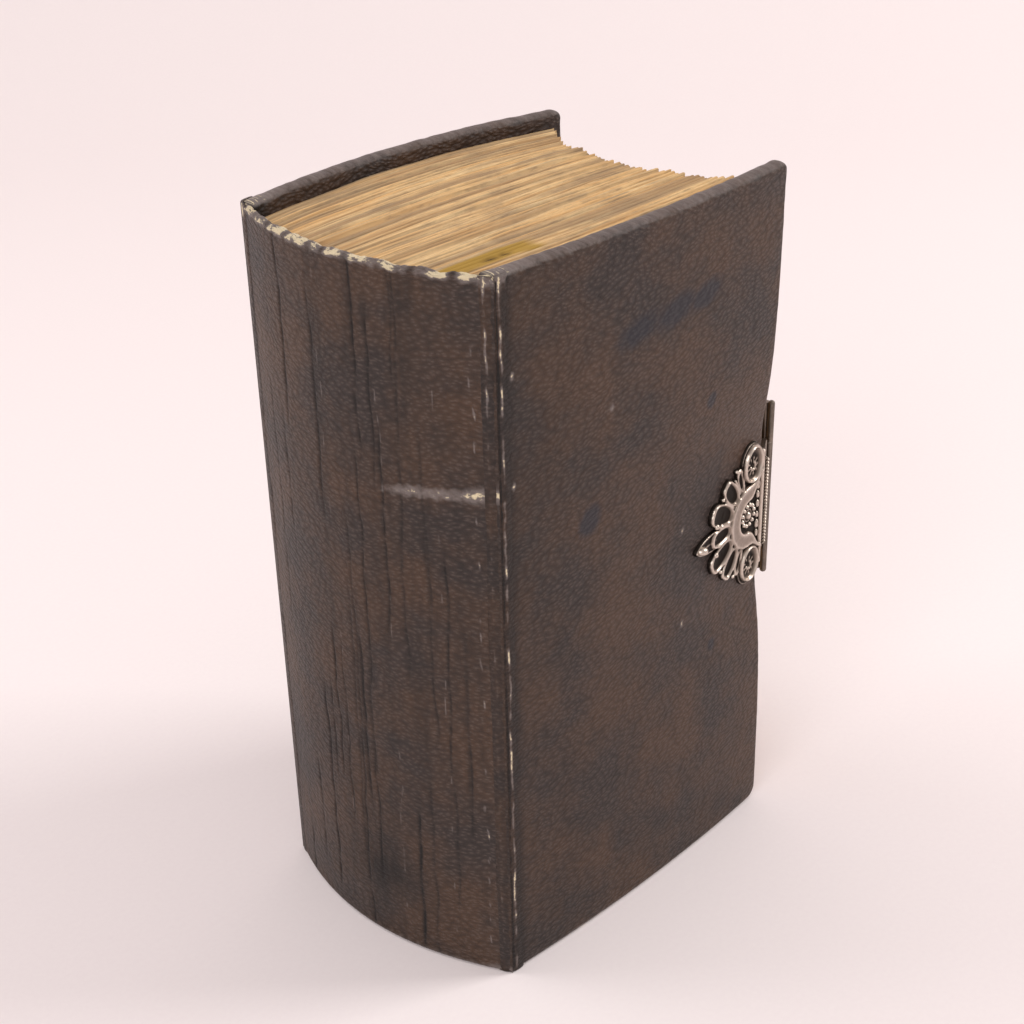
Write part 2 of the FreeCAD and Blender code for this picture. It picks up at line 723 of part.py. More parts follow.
def strap_line():
    """Start and end of the strap's middle line, tangent to its knuckles and in its roll."""
    axis = hinge_axis()
    start = axis + Vector(KNUCKLE_RADIUS - STRAP_THICKNESS / 2.0, 0, 0)
    return start, world_point(FRONT, ROLL_REACH, ROLL_DROP)


def strap_notches():
    """Room cut in the strap for the anchor's knuckles and the pin's heads."""
    axis = hinge_axis()
    reach = KNUCKLE_RADIUS + STRAP_SLOT_DEPTH
    rooms = []
    for index in range(0, KNUCKLE_COUNT, 2):
        low, high = knuckle_span(index)
        low -= KNUCKLE_GAP
        high += KNUCKLE_GAP
        if index == 0:
            low = -STRAP_HEIGHT
        if index == KNUCKLE_COUNT - 1:
            high = STRAP_HEIGHT
        rooms.append(Part.makeCylinder(reach, high - low, axis + Vector(0, 0, low), Z_AXIS))
    return rooms


def clasp_strap():
    """The strap: a bowed sheet, rolled at its free end, with two knuckles at the other."""
    axis = hinge_axis()
    start, end = strap_line()
    low = CLASP_HEIGHT - STRAP_HEIGHT / 2.0
    high = CLASP_HEIGHT + STRAP_HEIGHT / 2.0
    sheet = thick_arc(start, end, STRAP_BOW, STRAP_THICKNESS, low, high)
    roll = Part.makeCylinder(ROLL_RADIUS, STRAP_HEIGHT, Vector(end.x, end.y, low), Z_AXIS)
    sheet = sheet.fuse(roll)
    for room in strap_notches():
        sheet = sheet.cut(room)
    rings = []
    for index in range(1, KNUCKLE_COUNT, 2):
        ring_low, ring_high = knuckle_span(index)
        rings.append(Part.makeCylinder(KNUCKLE_RADIUS, ring_high - ring_low,
                                       axis + Vector(0, 0, ring_low), Z_AXIS))
    bore = Part.makeCylinder(PIN_RADIUS + PIN_CLEARANCE, STRAP_HEIGHT,
                             axis - Vector(0, 0, STRAP_HEIGHT / 2.0), Z_AXIS)
    return fuse_all([sheet] + rings).cut(bore)


def seat(side, leather, board_shape, plate):
    """Leather pressed down under its clasp plate, and nail holes through leather and board."""
    leather = leather.cut(placed(side, plate))
    for room in nail_room():
        hole = placed(side, room)
        leather = leather.cut(hole)
        board_shape = board_shape.cut(hole)
    return leather, board_shape


def build():
    """Every piece of the book by name."""
    front_board = board(FRONT)
    back_board = board(BACK)
    front_leather = cover_leather(FRONT, front_board)
    back_leather = cover_leather(BACK, back_board)
    catch = clasp_plate()
    anchor = anchor_plate()
    lip = catch_lip().cut(catch)
    front_leather, front_board = seat(FRONT, front_leather, front_board, catch)
    back_leather, back_board = seat(BACK, back_leather, back_board, anchor)
    front_leather = front_leather.cut(placed(FRONT, lip))
    nails = clasp_nails()
    return {
        "text_block": text_block(),
        "sewing_tapes": Part.makeCompound(tape_bands(0.0)),
        "spine_lining": spine_lining(),
        "spine_leather": spine_leather(),
        "front_board": front_board,
        "front_leather": front_leather,
        "front_pastedown": pastedown(FRONT),
        "catch_plate": placed(FRONT, catch),
        "catch_lip": placed(FRONT, lip),
        "catch_twisted_wire": placed(FRONT, catch_twist()),
        "catch_nails": Part.makeCompound([placed(FRONT, nail) for nail in nails]),
        "back_board": back_board,
        "back_leather": back_leather,
        "back_pastedown": pastedown(BACK),
        "anchor_plate": placed(BACK, anchor),
        "anchor_nails": Part.makeCompound([placed(BACK, nail) for nail in nails]),
        "hinge_pin": hinge_pin(),
        "clasp_strap": clasp_strap(),
    }


def centring(pieces):
    """The move that puts the frame's origin under the middle of the whole book."""
    box = Part.makeCompound(list(pieces.values())).optimalBoundingBox(False)
    return Vector(-box.Center.x, -box.Center.y, -box.ZMin)


def main():
    """Write every piece, and print what the record needs."""
    os.makedirs("parts", exist_ok=True)
    pieces = build()
    move = centring(pieces)
    for name, shape in pieces.items():
        shape.translated(move).exportStep("parts/%s.step" % name)
        print("%-20s solids %d valid %s volume %.1f" % (name, len(shape.Solids), shape.isValid(),
                                                       shape.Volume))
    half_leather = LEATHER_THICKNESS / 2.0
    for label, side in (("front", FRONT), ("back", BACK)):
        at = Vector(joint_x(side), side * (JOINT_SPAN / 2.0 - half_leather), 0) + move
        print("%s joint at x %.3f y %.3f" % (label, at.x, at.y))
    at = hinge_axis() + move
    print("strap hinge at x %.3f y %.3f z %.3f" % (at.x, at.y, at.z))
    at = cover_point(FRONT, COVER_WIDTH / 2.0, COVER_THICKNESS / 2.0, 0.0) + move
    print("tail face of the front cover at x %.3f y %.3f" % (at.x, at.y))
    print("moved by %.4f %.4f %.4f" % (move.x, move.y, move.z))


main()
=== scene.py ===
"""Looks of an antique leather-bound book with a cast silver clasp, standing on its tail.

Shapes are worked out in millimetres in the book's own frame and turned to metres when a mesh is
made. The spine faces -X, the front cover -Y, and the clasp closes round the fore-edge at +X.
"""
import json
import math

import bmesh
import bpy
import numpy as np
from bpy.props import FloatProperty, FloatVectorProperty, IntProperty, PointerProperty
from mathutils import Matrix, Vector, noise


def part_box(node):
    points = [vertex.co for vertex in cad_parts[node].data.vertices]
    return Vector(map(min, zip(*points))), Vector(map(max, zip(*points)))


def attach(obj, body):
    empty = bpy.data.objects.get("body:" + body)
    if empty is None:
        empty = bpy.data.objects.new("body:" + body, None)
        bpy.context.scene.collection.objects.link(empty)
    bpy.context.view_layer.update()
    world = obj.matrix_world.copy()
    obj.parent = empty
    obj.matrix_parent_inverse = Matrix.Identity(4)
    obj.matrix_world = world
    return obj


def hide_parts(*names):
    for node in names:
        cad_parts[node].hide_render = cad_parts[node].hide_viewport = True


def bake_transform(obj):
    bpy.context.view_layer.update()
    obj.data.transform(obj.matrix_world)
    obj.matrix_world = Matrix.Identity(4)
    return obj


bl_info = {
    "name": "Antique clasped book",
    "version": (1, 0, 0),
    "blender": (4, 5, 0),
    "location": "3D View > Sidebar > Clasped book",
    "description": "Dresses a leather-bound book: worn hide, soiled leaves and a silver clasp",
    "category": "Add Mesh",
}

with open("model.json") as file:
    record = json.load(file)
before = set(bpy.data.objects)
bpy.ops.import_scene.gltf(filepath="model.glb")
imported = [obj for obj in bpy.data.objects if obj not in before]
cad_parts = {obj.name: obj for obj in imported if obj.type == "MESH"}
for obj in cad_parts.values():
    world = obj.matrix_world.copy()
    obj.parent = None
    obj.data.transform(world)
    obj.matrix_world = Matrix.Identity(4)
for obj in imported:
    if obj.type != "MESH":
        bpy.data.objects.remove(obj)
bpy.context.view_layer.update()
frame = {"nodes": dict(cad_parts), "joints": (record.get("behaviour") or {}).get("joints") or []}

# Sizes of the book in mm
COVER_HEIGHT = 150.0
COVER_WIDTH = 80.3
COVER_THICKNESS = 4.0
BOARD_INNER_DEPTH = 3.4
TURN_IN_WIDTH = 11.0
EDGE_WEAR_REACH = 1.5
HEAD_CORNER_RADIUS = 1.6
TAIL_CORNER_RADIUS = 3.4
JOINT_GAP = 0.35
JOINT_SPAN = 62.3
FORE_EDGE_SPAN = 59.8
FRONT_BOW = 1.8
BACK_BOW = 4.8
SPINE_LEAN = 4.0
CLASP_PINCH = 3.0
PINCH_FLAT_HALF = 16.0
PINCH_FADE = 13.0
SPINE_ROUND = 8.0
SPINE_LEATHER_THICKNESS = 0.9
CAP_WIDTH = 2.3
CAP_HEIGHT = 1.8
HEAD_SQUARE = 3.3
FORE_EDGE_SQUARE = 3.2
FORE_EDGE_HOLLOW = 9.4
BLOCK_GAP = 0.35
BLOCK_THICKNESS = 56.0
BLOCK_SPINE_DEPTH = 1.7
LEAF_STEPS = (0.4, -0.7, 0.5, -0.4, 0.0, 0.9, -0.5, 0.3)

# Sizes of the clasp in mm, in the plate's own frame: reach leaves the fore-edge, drop the leather
CLASP_HEIGHT = 75.0
PLATE_INBOARD = 20.8
PLATE_GRID = 0.13
PLATE_BACK = -0.25
HUB = -6.8
RIDGE_X = -1.5
HINGE_REACH = 2.4
HINGE_DROP = 0.9
KNUCKLE_RADIUS = 1.4
KNUCKLE_COUNT = 3
KNUCKLE_LENGTH = 9.8
KNUCKLE_GAP = 0.2
KNUCKLE_BEVEL = 0.18
PIN_BORE = 0.66
ROLL_RADIUS = 0.75
ROLL_REACH = 6.4
ROLL_DROP = 2.15
STRAP_HALF_HEIGHT = 20.0
BEAD_RADIUS = 0.42
BEAD_REACH = 2.6
BEAD_DROP = 0.15
BEAD_HALF_HEIGHT = 12.8
# The real twist turns about once a millimetre, and is drawn coarser so that it shows
TWIST_PITCH = 1.5
LEAF_THICKNESS = 0.7

FRONT = -1
BACK = 1
MM = 0.001
JOINTS = {joint["name"]: joint for joint in frame["joints"]}


def linear(code):
    """Linear RGB from an sRGB hex colour."""
    channels = [int(code[i:i + 2], 16) / 255.0 for i in (1, 3, 5)]
    return tuple(c / 12.92 if c <= 0.04045 else ((c + 0.055) / 1.055) ** 2.4 for c in channels)


def colour_property(name, description, code):
    """A colour that a user can change."""
    return FloatVectorProperty(name=name, description=description, subtype="COLOR", size=3,
                               min=0.0, max=1.0, default=linear(code))


class ClaspedBookLeather(bpy.types.PropertyGroup):
    """Hide of the covers and spine."""

    brown: colour_property("Hide", "Brown of the unworn hide", "#362c28")
    warm: colour_property("Warm hide", "Redder brown where the finish has thinned", "#4c3729")
    # The handled-hide colour is also laid on the grain as painted shade in its valleys and pores.
    soot: colour_property("Handled hide", "Near-black of the joints and greasy folds", "#191412")
    slate: colour_property("Stain", "Blue-black of the old ink stains", "#24242b")
    cream: colour_property("Worn through", "Pale flesh side where the surface is gone", "#d8c8a6")
    # This colour is a painted highlight on the pebble tops as well as their rubbed polish.
    polish_and_highlight: colour_property("Polished grain", "Greyer tops of the pebbles", "#6f6058")
    grey: colour_property("Rubbed edge", "Grey bloom of the rubbed edges", "#7a706c")
    grain: FloatProperty(name="Grain pitch", description="Distance between pebbles of the grain",
                         default=0.00075, min=0.0002, max=0.01, unit="LENGTH")


class ClaspedBookLeaves(bpy.types.PropertyGroup):
    """Edges of the leaves."""

    paper: colour_property("Paper", "Ochre of the aged leaf edges", "#d6ab74")
    pale: colour_property("Pale paper", "Cleaner leaf edges", "#e8ca98")
    soil: colour_property("Soil", "Grey-brown dust between the leaves", "#86705a")
    gap: colour_property("Gap", "Shadowed gaps between gatherings", "#3c2a1c")
    glue: colour_property("Glue", "Mustard smear of old glue", "#a8873e")
    gatherings: IntProperty(name="Gatherings", description="How many groups of leaves show",
                            default=64, min=8, max=120)


class ClaspedBookSilver(bpy.types.PropertyGroup):
    """Metal of the clasp."""

    bright: colour_property("Rubbed silver", "Silver on the handled high places", "#d2c5b8")
    mid: colour_property("Silver", "Silver on the flat faces", "#8a7d72")
    sulphide: colour_property("Tarnish", "Black tarnish in the recesses", "#1c1714")


def side_name(side):
    """What the pieces of a side are called after."""
    return "front" if side == FRONT else "back"


def plate_name(side):
    """What the clasp's pieces on a side are called after."""
    return "catch" if side == FRONT else "anchor"


def book_move():
    """How far the book's frame lies from the one that its sizes are worked out in."""
    pivot = JOINTS["front_cover_joint"]["pos_m"]
    return np.array([pivot[0] / MM - joint_x(FRONT), pivot[1] / MM + JOINT_SPAN / 2.0 - 0.3, 0.0])


def lean_at(y):
    """How far the leaning book has slipped toward the spine at y."""
    return -SPINE_LEAN * (y + JOINT_SPAN / 2.0) / JOINT_SPAN


def joint_x(side):
    """Where a cover starts, at its joint."""
    return -COVER_WIDTH / 2.0 + SPINE_LEAN / 2.0 + lean_at(side * JOINT_SPAN / 2.0)


def face_y(side, along, z):
    """Distance of a cover's outside face from mid-thickness, along mm from its joint."""
    share = along / COVER_WIDTH
    bow = FRONT_BOW if side == FRONT else BACK_BOW
    beyond = np.maximum(0.0, np.abs(z - CLASP_HEIGHT) - PINCH_FLAT_HALF)
    pinch = CLASP_PINCH / (1.0 + (beyond / PINCH_FADE) ** 2) if side == FRONT else 0.0
    straight = JOINT_SPAN / 2.0 + (FORE_EDGE_SPAN - JOINT_SPAN) / 2.0 * share
    return straight + 4.0 * bow * share * (1.0 - share) - pinch * share ** 2


def cover_points(side, along, depth, z):
    """Points of a cover, depth mm in from its outside face."""
    along, depth, z = np.broadcast_arrays(along, depth, z)
    y = side * (face_y(side, along, z) - depth)
    return np.stack([joint_x(side) + along, y, z], axis=-1) + book_move()


def spine_points(depth, y, z):
    """Points of the rounded spine, depth mm in from the leather's outside."""
    depth, y, z = np.broadcast_arrays(depth, y, z)
    half = JOINT_SPAN / 2.0 - 1.2 * depth
    stand = (SPINE_ROUND - depth) * (1.0 - np.minimum(1.0, np.abs(y) / half) ** 2)
    x = -COVER_WIDTH / 2.0 + SPINE_LEAN / 2.0 + lean_at(y) - stand
    return np.stack([x, y, z], axis=-1) + book_move()


def plate_frame(side):
    """Placement of a clasp plate: local +X leaves the fore-edge, local -Y leaves the leather."""
    edge = face_y(side, COVER_WIDTH, CLASP_HEIGHT)
    rise = face_y(side, COVER_WIDTH - PLATE_INBOARD, CLASP_HEIGHT) - edge
    tilt = math.atan2(rise, PLATE_INBOARD)
    at = Vector((joint_x(side) + COVER_WIDTH, side * edge, CLASP_HEIGHT)) + Vector(book_move())
    return Matrix.Translation(at) @ Matrix.Rotation(-side * tilt, 4, "Z")


def on_plate(side, points):
    """Points of the plate's frame moved onto the front plate, or mirrored onto the back one."""
    points = np.array(points, float)
    if side == BACK:
        points = points * (1.0, -1.0, 1.0)
    turn = np.array(plate_frame(side))
    return points @ turn[:3, :3].T + turn[:3, 3]


def smooth_step(value, low, high):
    """0 below low, 1 above high, and a smooth change between them."""
    share = np.clip((value - low) / (high - low), 0.0, 1.0)
    return share * share * (3.0 - 2.0 * share)


def lumps(points, size, seed):
    """Smooth noise from about -1 to 1 at each point, with lumps size mm wide."""
    flat = np.asarray(points, float).reshape(-1, 3) / size + 13.7 * seed
    values = [noise.noise(Vector(point)) for point in flat]
    return np.array(values).reshape(np.shape(points)[:-1])


def lumps_up(z, size, seed):
    """Smooth noise that changes only with height."""
    return lumps(np.stack([0.0 * z, 0.0 * z, z], axis=-1), size, seed)


def grid_faces(rows, columns, first=0, flip=False, keep=None):
    """Quads of a grid of points numbered row by row, or only those of the kept cells."""
    index = first + np.arange(rows * columns).reshape(rows, columns)
    corners = [index[:-1, :-1], index[1:, :-1], index[1:, 1:], index[:-1, 1:]]
    if flip:
        corners = corners[::-1]
    faces = np.stack(corners, axis=-1)
    return faces[keep] if keep is not None else faces.reshape(-1, 4)


def ring_faces(rings, sides, first=0):
    """Quads between closed rings of points, and a cap on the first and the last ring."""
    index = first + np.arange(rings * sides).reshape(rings, sides)
    after = np.roll(index, -1, axis=1)
    quads = np.stack([index[:-1], after[:-1], after[1:], index[1:]], axis=-1).reshape(-1, 4)
    return quads.tolist() + [index[0, ::-1].tolist(), index[-1].tolist()]


def mesh_piece(name, points, faces, material, body, uv=None, marks=None):
    """A smooth-shaded piece from points in mm that rides on a body, or on none yet."""
    mesh = bpy.data.meshes.new(name)
    mesh.from_pydata((np.reshape(points, (-1, 3)) * MM).tolist(), [], [list(f) for f in faces])
    corner = np.zeros(len(mesh.loops), np.int32)
    mesh.loops.foreach_get("vertex_index", corner)
    if uv is not None:
        layer = mesh.uv_layers.new(name="mm")
        layer.data.foreach_set("uv", np.reshape(uv, (-1, 2))[corner].astype(np.float32).ravel())
    if marks is not None:
        layer = mesh.color_attributes.new("marks", "FLOAT_COLOR", "POINT")
        stack = np.concatenate([np.reshape(marks, (-1, 3)), np.ones((len(mesh.vertices), 1))], 1)
        layer.data.foreach_set("color", stack.astype(np.float32).ravel())
    mesh.polygons.foreach_set("use_smooth", [True] * len(mesh.polygons))
    mesh.materials.append(material)
    obj = bpy.data.objects.new(name, mesh)
    bpy.context.scene.collection.objects.link(obj)
    if body:
        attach(obj, body)
    return obj


def weld(obj, distance=0.002):
    """Join the points of a piece that lie together, and turn its faces outward."""
    mesh = bmesh.new()
    mesh.from_mesh(obj.data)
    bmesh.ops.remove_doubles(mesh, verts=mesh.verts, dist=distance * MM)
    bmesh.ops.recalc_face_normals(mesh, faces=mesh.faces)
    mesh.to_mesh(obj.data)
    mesh.free()
    return obj


def tidy_cad(node, material):
    """Give a CAD piece its finish."""
    slots = frame["nodes"][node].data.materials
    slots.clear()
    slots.append(material)


def add_node(tree, kind, inputs=None, stops=None, **settings):
    """Add a shader node with its settings, and link or set its inputs."""
    node = tree.nodes.new("ShaderNode" + kind)
    for key, value in settings.items():
        setattr(node, key, value)
    if stops:
        ramp = node.color_ramp.elements
        while len(ramp) < len(stops):
            ramp.new(1.0)
        for element, (place, value) in zip(ramp, stops):
            element.position = place
            element.color = (value, value, value, 1.0)
    for key, value in (inputs or {}).items():
        if isinstance(value, bpy.types.NodeSocket):
            tree.links.new(value, node.inputs[key])
        else:
            node.inputs[key].default_value = value
    return node


def new_material(name):
    """An empty material with its output and shader, and its node tree."""
    material = bpy.data.materials.new(name)
    material.use_nodes = True
    tree = material.node_tree
    tree.nodes.clear()
    shader = add_node(tree, "BsdfPrincipled")
    add_node(tree, "OutputMaterial", {"Surface": shader.outputs[0]})
    return material, tree, shader


def settings():
    """The scene's leather, leaf and silver settings."""
    scene = bpy.context.scene
    return scene.clasped_book_leather, scene.clasped_book_leaves, scene.clasped_book_silver


def rgba(colour):
    """A colour setting with full alpha."""
    return (*colour, 1.0)


def tint(tree, below, above, share):
    """Mix from one colour to another, which is a setting, by a share."""
    mix = add_node(tree, "Mix", {0: share, 6: below, 7: rgba(above)}, data_type="RGBA")
    return mix.outputs[2]


def ramp(tree, value, *stops):
    """A value read off a line through the stops."""
    return add_node(tree, "ValToRGB", {0: value}, stops=stops).outputs[0]


def times(tree, first, second, more=None):
    """Two values multiplied, and a third added if there is one."""
    operation = "MULTIPLY" if more is None else "MULTIPLY_ADD"
    inputs = {0: first, 1: second} if more is None else {0: first, 1: second, 2: more}
    return add_node(tree, "Math", inputs, operation=operation).outputs[0]


def clouds(tree, place, scale, detail=2.0, roughness=0.5):
    """Fractal noise at a place."""
    return add_node(tree, "TexNoise", {"Vector": place, "Scale": scale, "Detail": detail,
                                       "Roughness": roughness}).outputs[0]


def drawn_out(tree, place, *scale):
    """Places stretched or squeezed along each axis."""
    return add_node(tree, "Mapping", {"Vector": place, "Scale": scale}).outputs[0]


def bumped(tree, height, strength, distance):
    """A surface normal that follows a height, distance mm deep."""
    return add_node(tree, "Bump", {"Strength": strength, "Distance": distance * MM,
                                   "Height": height}).outputs[0]


def painted(tree):
    """The marks painted on a mesh, one value for each channel."""
    marks = add_node(tree, "Attribute", attribute_name="marks").outputs["Color"]
    return add_node(tree, "SeparateColor", {0: marks}).outputs


def finish(tree, shader, **values):
    """Link or set inputs of the shader, named with _ for a space."""
    for name, value in values.items():
        socket = shader.inputs[name.replace("_", " ")]
        if isinstance(value, bpy.types.NodeSocket):
            tree.links.new(value, socket)
        else:
            socket.default_value = value


def tanned_calf_pebbled():
    """Vegetable-tanned calf, boarded by hand into a pebbled grain and two centuries handled.

    The eye reads short diagonal wrinkles that fade where hands have polished the hide, their
    valleys and pores darkened with painted shade and their tops lightened with a painted
    highlight, with ink stains, soot in the folds and pale scuffs at every edge.
    """
    hide = settings()[0]
    material, tree, shader = new_material("tanned_calf_pebbled")
    place = add_node(tree, "UVMap", uv_map="mm").outputs[0]
    wear, ink, dirt = painted(tree)
    pitch = hide.grain / MM
    sway = add_node(tree, "TexNoise", {"Vector": place, "Scale": 0.11, "Detail": 2.0})
    swayed = add_node(tree, "VectorMath", {0: sway.outputs[1], 1: (3.0, 3.0, 0.0), 2: place},
                      operation="MULTIPLY_ADD")
    turned_place = add_node(tree, "Mapping", {"Vector": swayed.outputs[0],
                                              "Rotation": (0.0, 0.0, math.radians(-38.0)),
                                              "Scale": (0.48 / pitch, 1.0 / pitch, 1.0)})
    pebbles = add_node(tree, "TexVoronoi", {"Vector": turned_place.outputs[0], "Scale": 1.0,
                                            "Smoothness": 0.55, "Randomness": 0.9},
                       feature="SMOOTH_F1", voronoi_dimensions="2D").outputs[0]
    # Real pores are under 0.1 mm wide, too fine to show, so they are drawn about 0.3 mm wide
    pores = clouds(tree, place, 3.4, 4.0, 0.62)
    patches = clouds(tree, place, 0.045, 5.0, 0.6)
    scrapes = clouds(tree, place, 0.9, 7.0, 0.75)
    grime = clouds(tree, place, 0.16, 6.0, 0.65)
    stain = times(tree, ink, patches)
    bloom = times(tree, wear, scrapes)
    colour = rgba(hide.brown)
    for above, share in (
            (hide.warm, ramp(tree, patches, (0.4, 0.0), (0.58, 1.0))),
            # Painted highlight with rubbed polish: the pebble tops are lightened toward this
            # colour.
            (hide.polish_and_highlight, ramp(tree, pebbles, (0.05, 0.4), (0.35, 0.0))),
            # Painted shade: the valleys between the pebbles, and the pores on the next line, are
            # darkened toward the soot colour.
            (hide.soot, ramp(tree, pebbles, (0.4, 0.0), (0.8, 0.35))),
            (hide.soot, ramp(tree, pores, (0.3, 0.5), (0.55, 0.0))),
            (hide.soot, ramp(tree, grime, (0.48, 0.0), (0.74, 0.32))),
            (hide.slate, ramp(tree, stain, (0.12, 0.0), (0.4, 0.85))),
            (hide.soot, times(tree, dirt, 0.92)),
            (hide.grey, ramp(tree, bloom, (0.16, 0.0), (0.42, 0.75))),
            (hide.cream, ramp(tree, bloom, (0.49, 0.0), (0.55, 1.0)))):
        colour = tint(tree, colour, above, share)
    height = times(tree, pores, 0.45, times(tree, pebbles, -0.8, 1.0))
    finish(tree, shader, Base_Color=colour, Roughness=ramp(tree, pores, (0.3, 0.36), (0.7, 0.56)),
           Normal=bumped(tree, height, 0.9, 0.35), IOR=1.48, Specular_IOR_Level=0.3)
    return material


def rag_paper_cut():
    """Rag paper, cut and soiled at its edges.

    The eye reads ochre strata that run with the leaves, dust between them and dark gaps.
    """
    tones = settings()[1]
    material, tree, shader = new_material("rag_paper_cut")
    place = add_node(tree, "UVMap", uv_map="mm").outputs[0]
    marks = painted(tree)
    strata = clouds(tree, drawn_out(tree, place, 0.035, 1.1, 1.0), 1.0, 6.0, 0.65)
    fine = clouds(tree, drawn_out(tree, place, 0.25, 6.0, 1.0), 1.0, 4.0, 0.7)
    bands = clouds(tree, drawn_out(tree, place, 0.012, 0.32, 1.0), 1.0, 3.0, 0.6)
    dusty = times(tree, clouds(tree, place, 0.09, 5.0, 0.62), strata)
    colour = rgba(tones.paper)
    for above, share in ((tones.pale, ramp(tree, strata, (0.4, 0.0), (0.62, 1.0))),
                         (tones.soil, ramp(tree, bands, (0.42, 0.6), (0.56, 0.0))),
                         (tones.soil, ramp(tree, fine, (0.3, 0.6), (0.52, 0.0))),
                         (tones.soil, ramp(tree, dusty, (0.24, 0.0), (0.38, 0.6))),
                         # The gap colour is painted shade in the gaps between gatherings, and also
                         # the glue's two dark spots.
                         (tones.glue, marks[1]), (tones.gap, marks[2])):
        colour = tint(tree, colour, above, share)
    finish(tree, shader, Base_Color=colour, Roughness=0.92, Specular_IOR_Level=0.2,
           Normal=bumped(tree, fine, 0.6, 0.15))
    return material


def silver_cast():
    """Silver, cast in sand, filed on its high places and long tarnished.

    The eye reads bright rubbed edges against black recesses, with a fine brushed grain.
    """
    metal = settings()[2]
    material, tree, shader = new_material("silver_cast_tarnished")
    proud, _, hidden = painted(tree)
    place = add_node(tree, "TexCoord").outputs["Object"]
    speck = clouds(tree, place, 1400.0, 4.0, 0.65)
    cloud = clouds(tree, place, 260.0, 3.0)
    high = ramp(tree, times(tree, speck, 0.35, proud), (0.45, 0.0), (0.95, 1.0))
    low = ramp(tree, times(tree, cloud, 0.4, hidden), (0.3, 0.0), (0.7, 0.95))
    colour = tint(tree, rgba(metal.mid), metal.bright, high)
    finish(tree, shader, Base_Color=tint(tree, colour, metal.sulphide, low), Metallic=1.0,
           Roughness=times(tree, low, 0.3, 0.3), Normal=bumped(tree, speck, 0.3, 0.05))
    return material


def silver_rolled():
    """Silver sheet and wire, rolled or drawn, darkened where fingers don't reach.

    The eye reads a soft warm sheen with cloudy tarnish and fine lengthwise lines.
    """
    metal = settings()[2]
    material, tree, shader = new_material("silver_rolled_tarnished")
    place = add_node(tree, "TexCoord").outputs["Object"]
    # Real marks of the rolls are finer, and are drawn about 0.2 mm apart so that they show
    lines = clouds(tree, drawn_out(tree, place, 5000.0, 5000.0, 120.0), 1.0, 3.0)
    cloud = clouds(tree, place, 190.0, 4.0, 0.6)
    dark = ramp(tree, cloud, (0.42, 0.1), (0.75, 0.6))
    colour = tint(tree, rgba(metal.mid), metal.sulphide, dark)
    colour = tint(tree, colour, metal.bright, ramp(tree, lines, (0.45, 0.0), (0.8, 0.25)))
    finish(tree, shader, Base_Color=colour, Metallic=1.0, Roughness=0.38,
           Normal=bumped(tree, lines, 0.12, 0.02))
    return material


def fibrous(name, code, dark_code, thread, roughness):
    """A matt fibrous sheet whose two tones run in threads of the given width in mm."""
    material, tree, shader = new_material(name)
    place = add_node(tree, "TexCoord").outputs["Object"]
    weave = clouds(tree, drawn_out(tree, place, 1.0, 1.0, 0.3), 1.0 / (thread * MM), 4.0, 0.7)
    share = ramp(tree, times(tree, weave, clouds(tree, place, 60.0, 4.0)), (0.15, 0.0), (0.4, 1.0))
    finish(tree, shader, Base_Color=tint(tree, rgba(linear(dark_code)), linear(code), share),
           Roughness=roughness, Normal=bumped(tree, weave, 0.5, 0.1))
    return material


def nose_depth(distance):
    """How far a worn edge falls away from the outside face, distance mm from the border."""
    share = np.clip(1.0 - distance / EDGE_WEAR_REACH, 0.0, 1.0)
    return COVER_THICKNESS / 2.0 * (1.0 - (1.0 - share ** 2.6) ** (1.0 / 2.6))


def close_lines(length, step, from_zero, extra=()):
    """Places along a side: step mm apart, and closer toward the worn ends."""
    turn = EDGE_WEAR_REACH * (1.0 - np.sin(np.linspace(0.0, math.pi / 2.0, 8)))
    start = turn if from_zero else np.array([JOINT_GAP])
    inner_start = EDGE_WEAR_REACH if from_zero else JOINT_GAP
    count = int((length - EDGE_WEAR_REACH - inner_start) / step)
    middle = np.linspace(inner_start, length - EDGE_WEAR_REACH, count)
    lines = np.concatenate([start, middle, length - turn, np.array(extra)])
    return np.unique(np.round(lines, 4))


def round_corner(x, z, radius, at_head):
    """Draw the grid in round a worn corner, and give the distance from the border there."""
    up = (z - (COVER_HEIGHT - radius)) if at_head else (radius - z)
    u = np.clip((x - (COVER_WIDTH - radius)) / radius, 0.0, 1.0)
    v = np.clip(up / radius, 0.0, 1.0)
    inside = (u > 0.0) & (v > 0.0)
    new_u = u * np.sqrt(1.0 - v * v / 2.0)
    new_v = v * np.sqrt(1.0 - u * u / 2.0)
    sign = 1.0 if at_head else -1.0
    corner_z = COVER_HEIGHT - radius if at_head else radius
    x = np.where(inside, COVER_WIDTH - radius + radius * new_u, x)
    z = np.where(inside, corner_z + sign * radius * new_v, z)
    distance = np.where(inside, radius * (1.0 - np.sqrt(new_u ** 2 + new_v ** 2)), np.inf)
    return x, z, distance


# Old ink stains on the front cover: distance from the joint, height, and reach each way, in mm
INK_STAINS = ((35.0, 130.0, 6.0, 3.0), (45.0, 130.5, 6.0, 3.0), (54.0, 131.0, 5.0, 2.6),
              (57.5, 108.0, 1.4, 1.6), (61.0, 50.0, 1.3, 1.5), (22.0, 96.0, 3.0, 3.0))
# Small scuffs through to the flesh side of the front cover: distance from the joint and height
FLESH_FLECKS = ((3.4, 131.0), (27.5, 117.0), (3.4, 110.0), (50.0, 82.0), (50.5, 60.0))


# Pale threads of worn leather up the spine, in mm from its middle, and a scuff across it
SPINE_THREADS = (-27.2, -20.5, -9.5, 4.0)
SCUFF_HEIGHT = 105.5
# Two cracks up each joint, by their share of the way round it from spine to cover
JOINT_CRACKS = (0.22, 0.66)
# Smear of old glue on the head: share of the way from front to back, and its two dark spots
GLUE_SHARE = 0.16
GLUE_SPOTS = (13.5, 16.0)


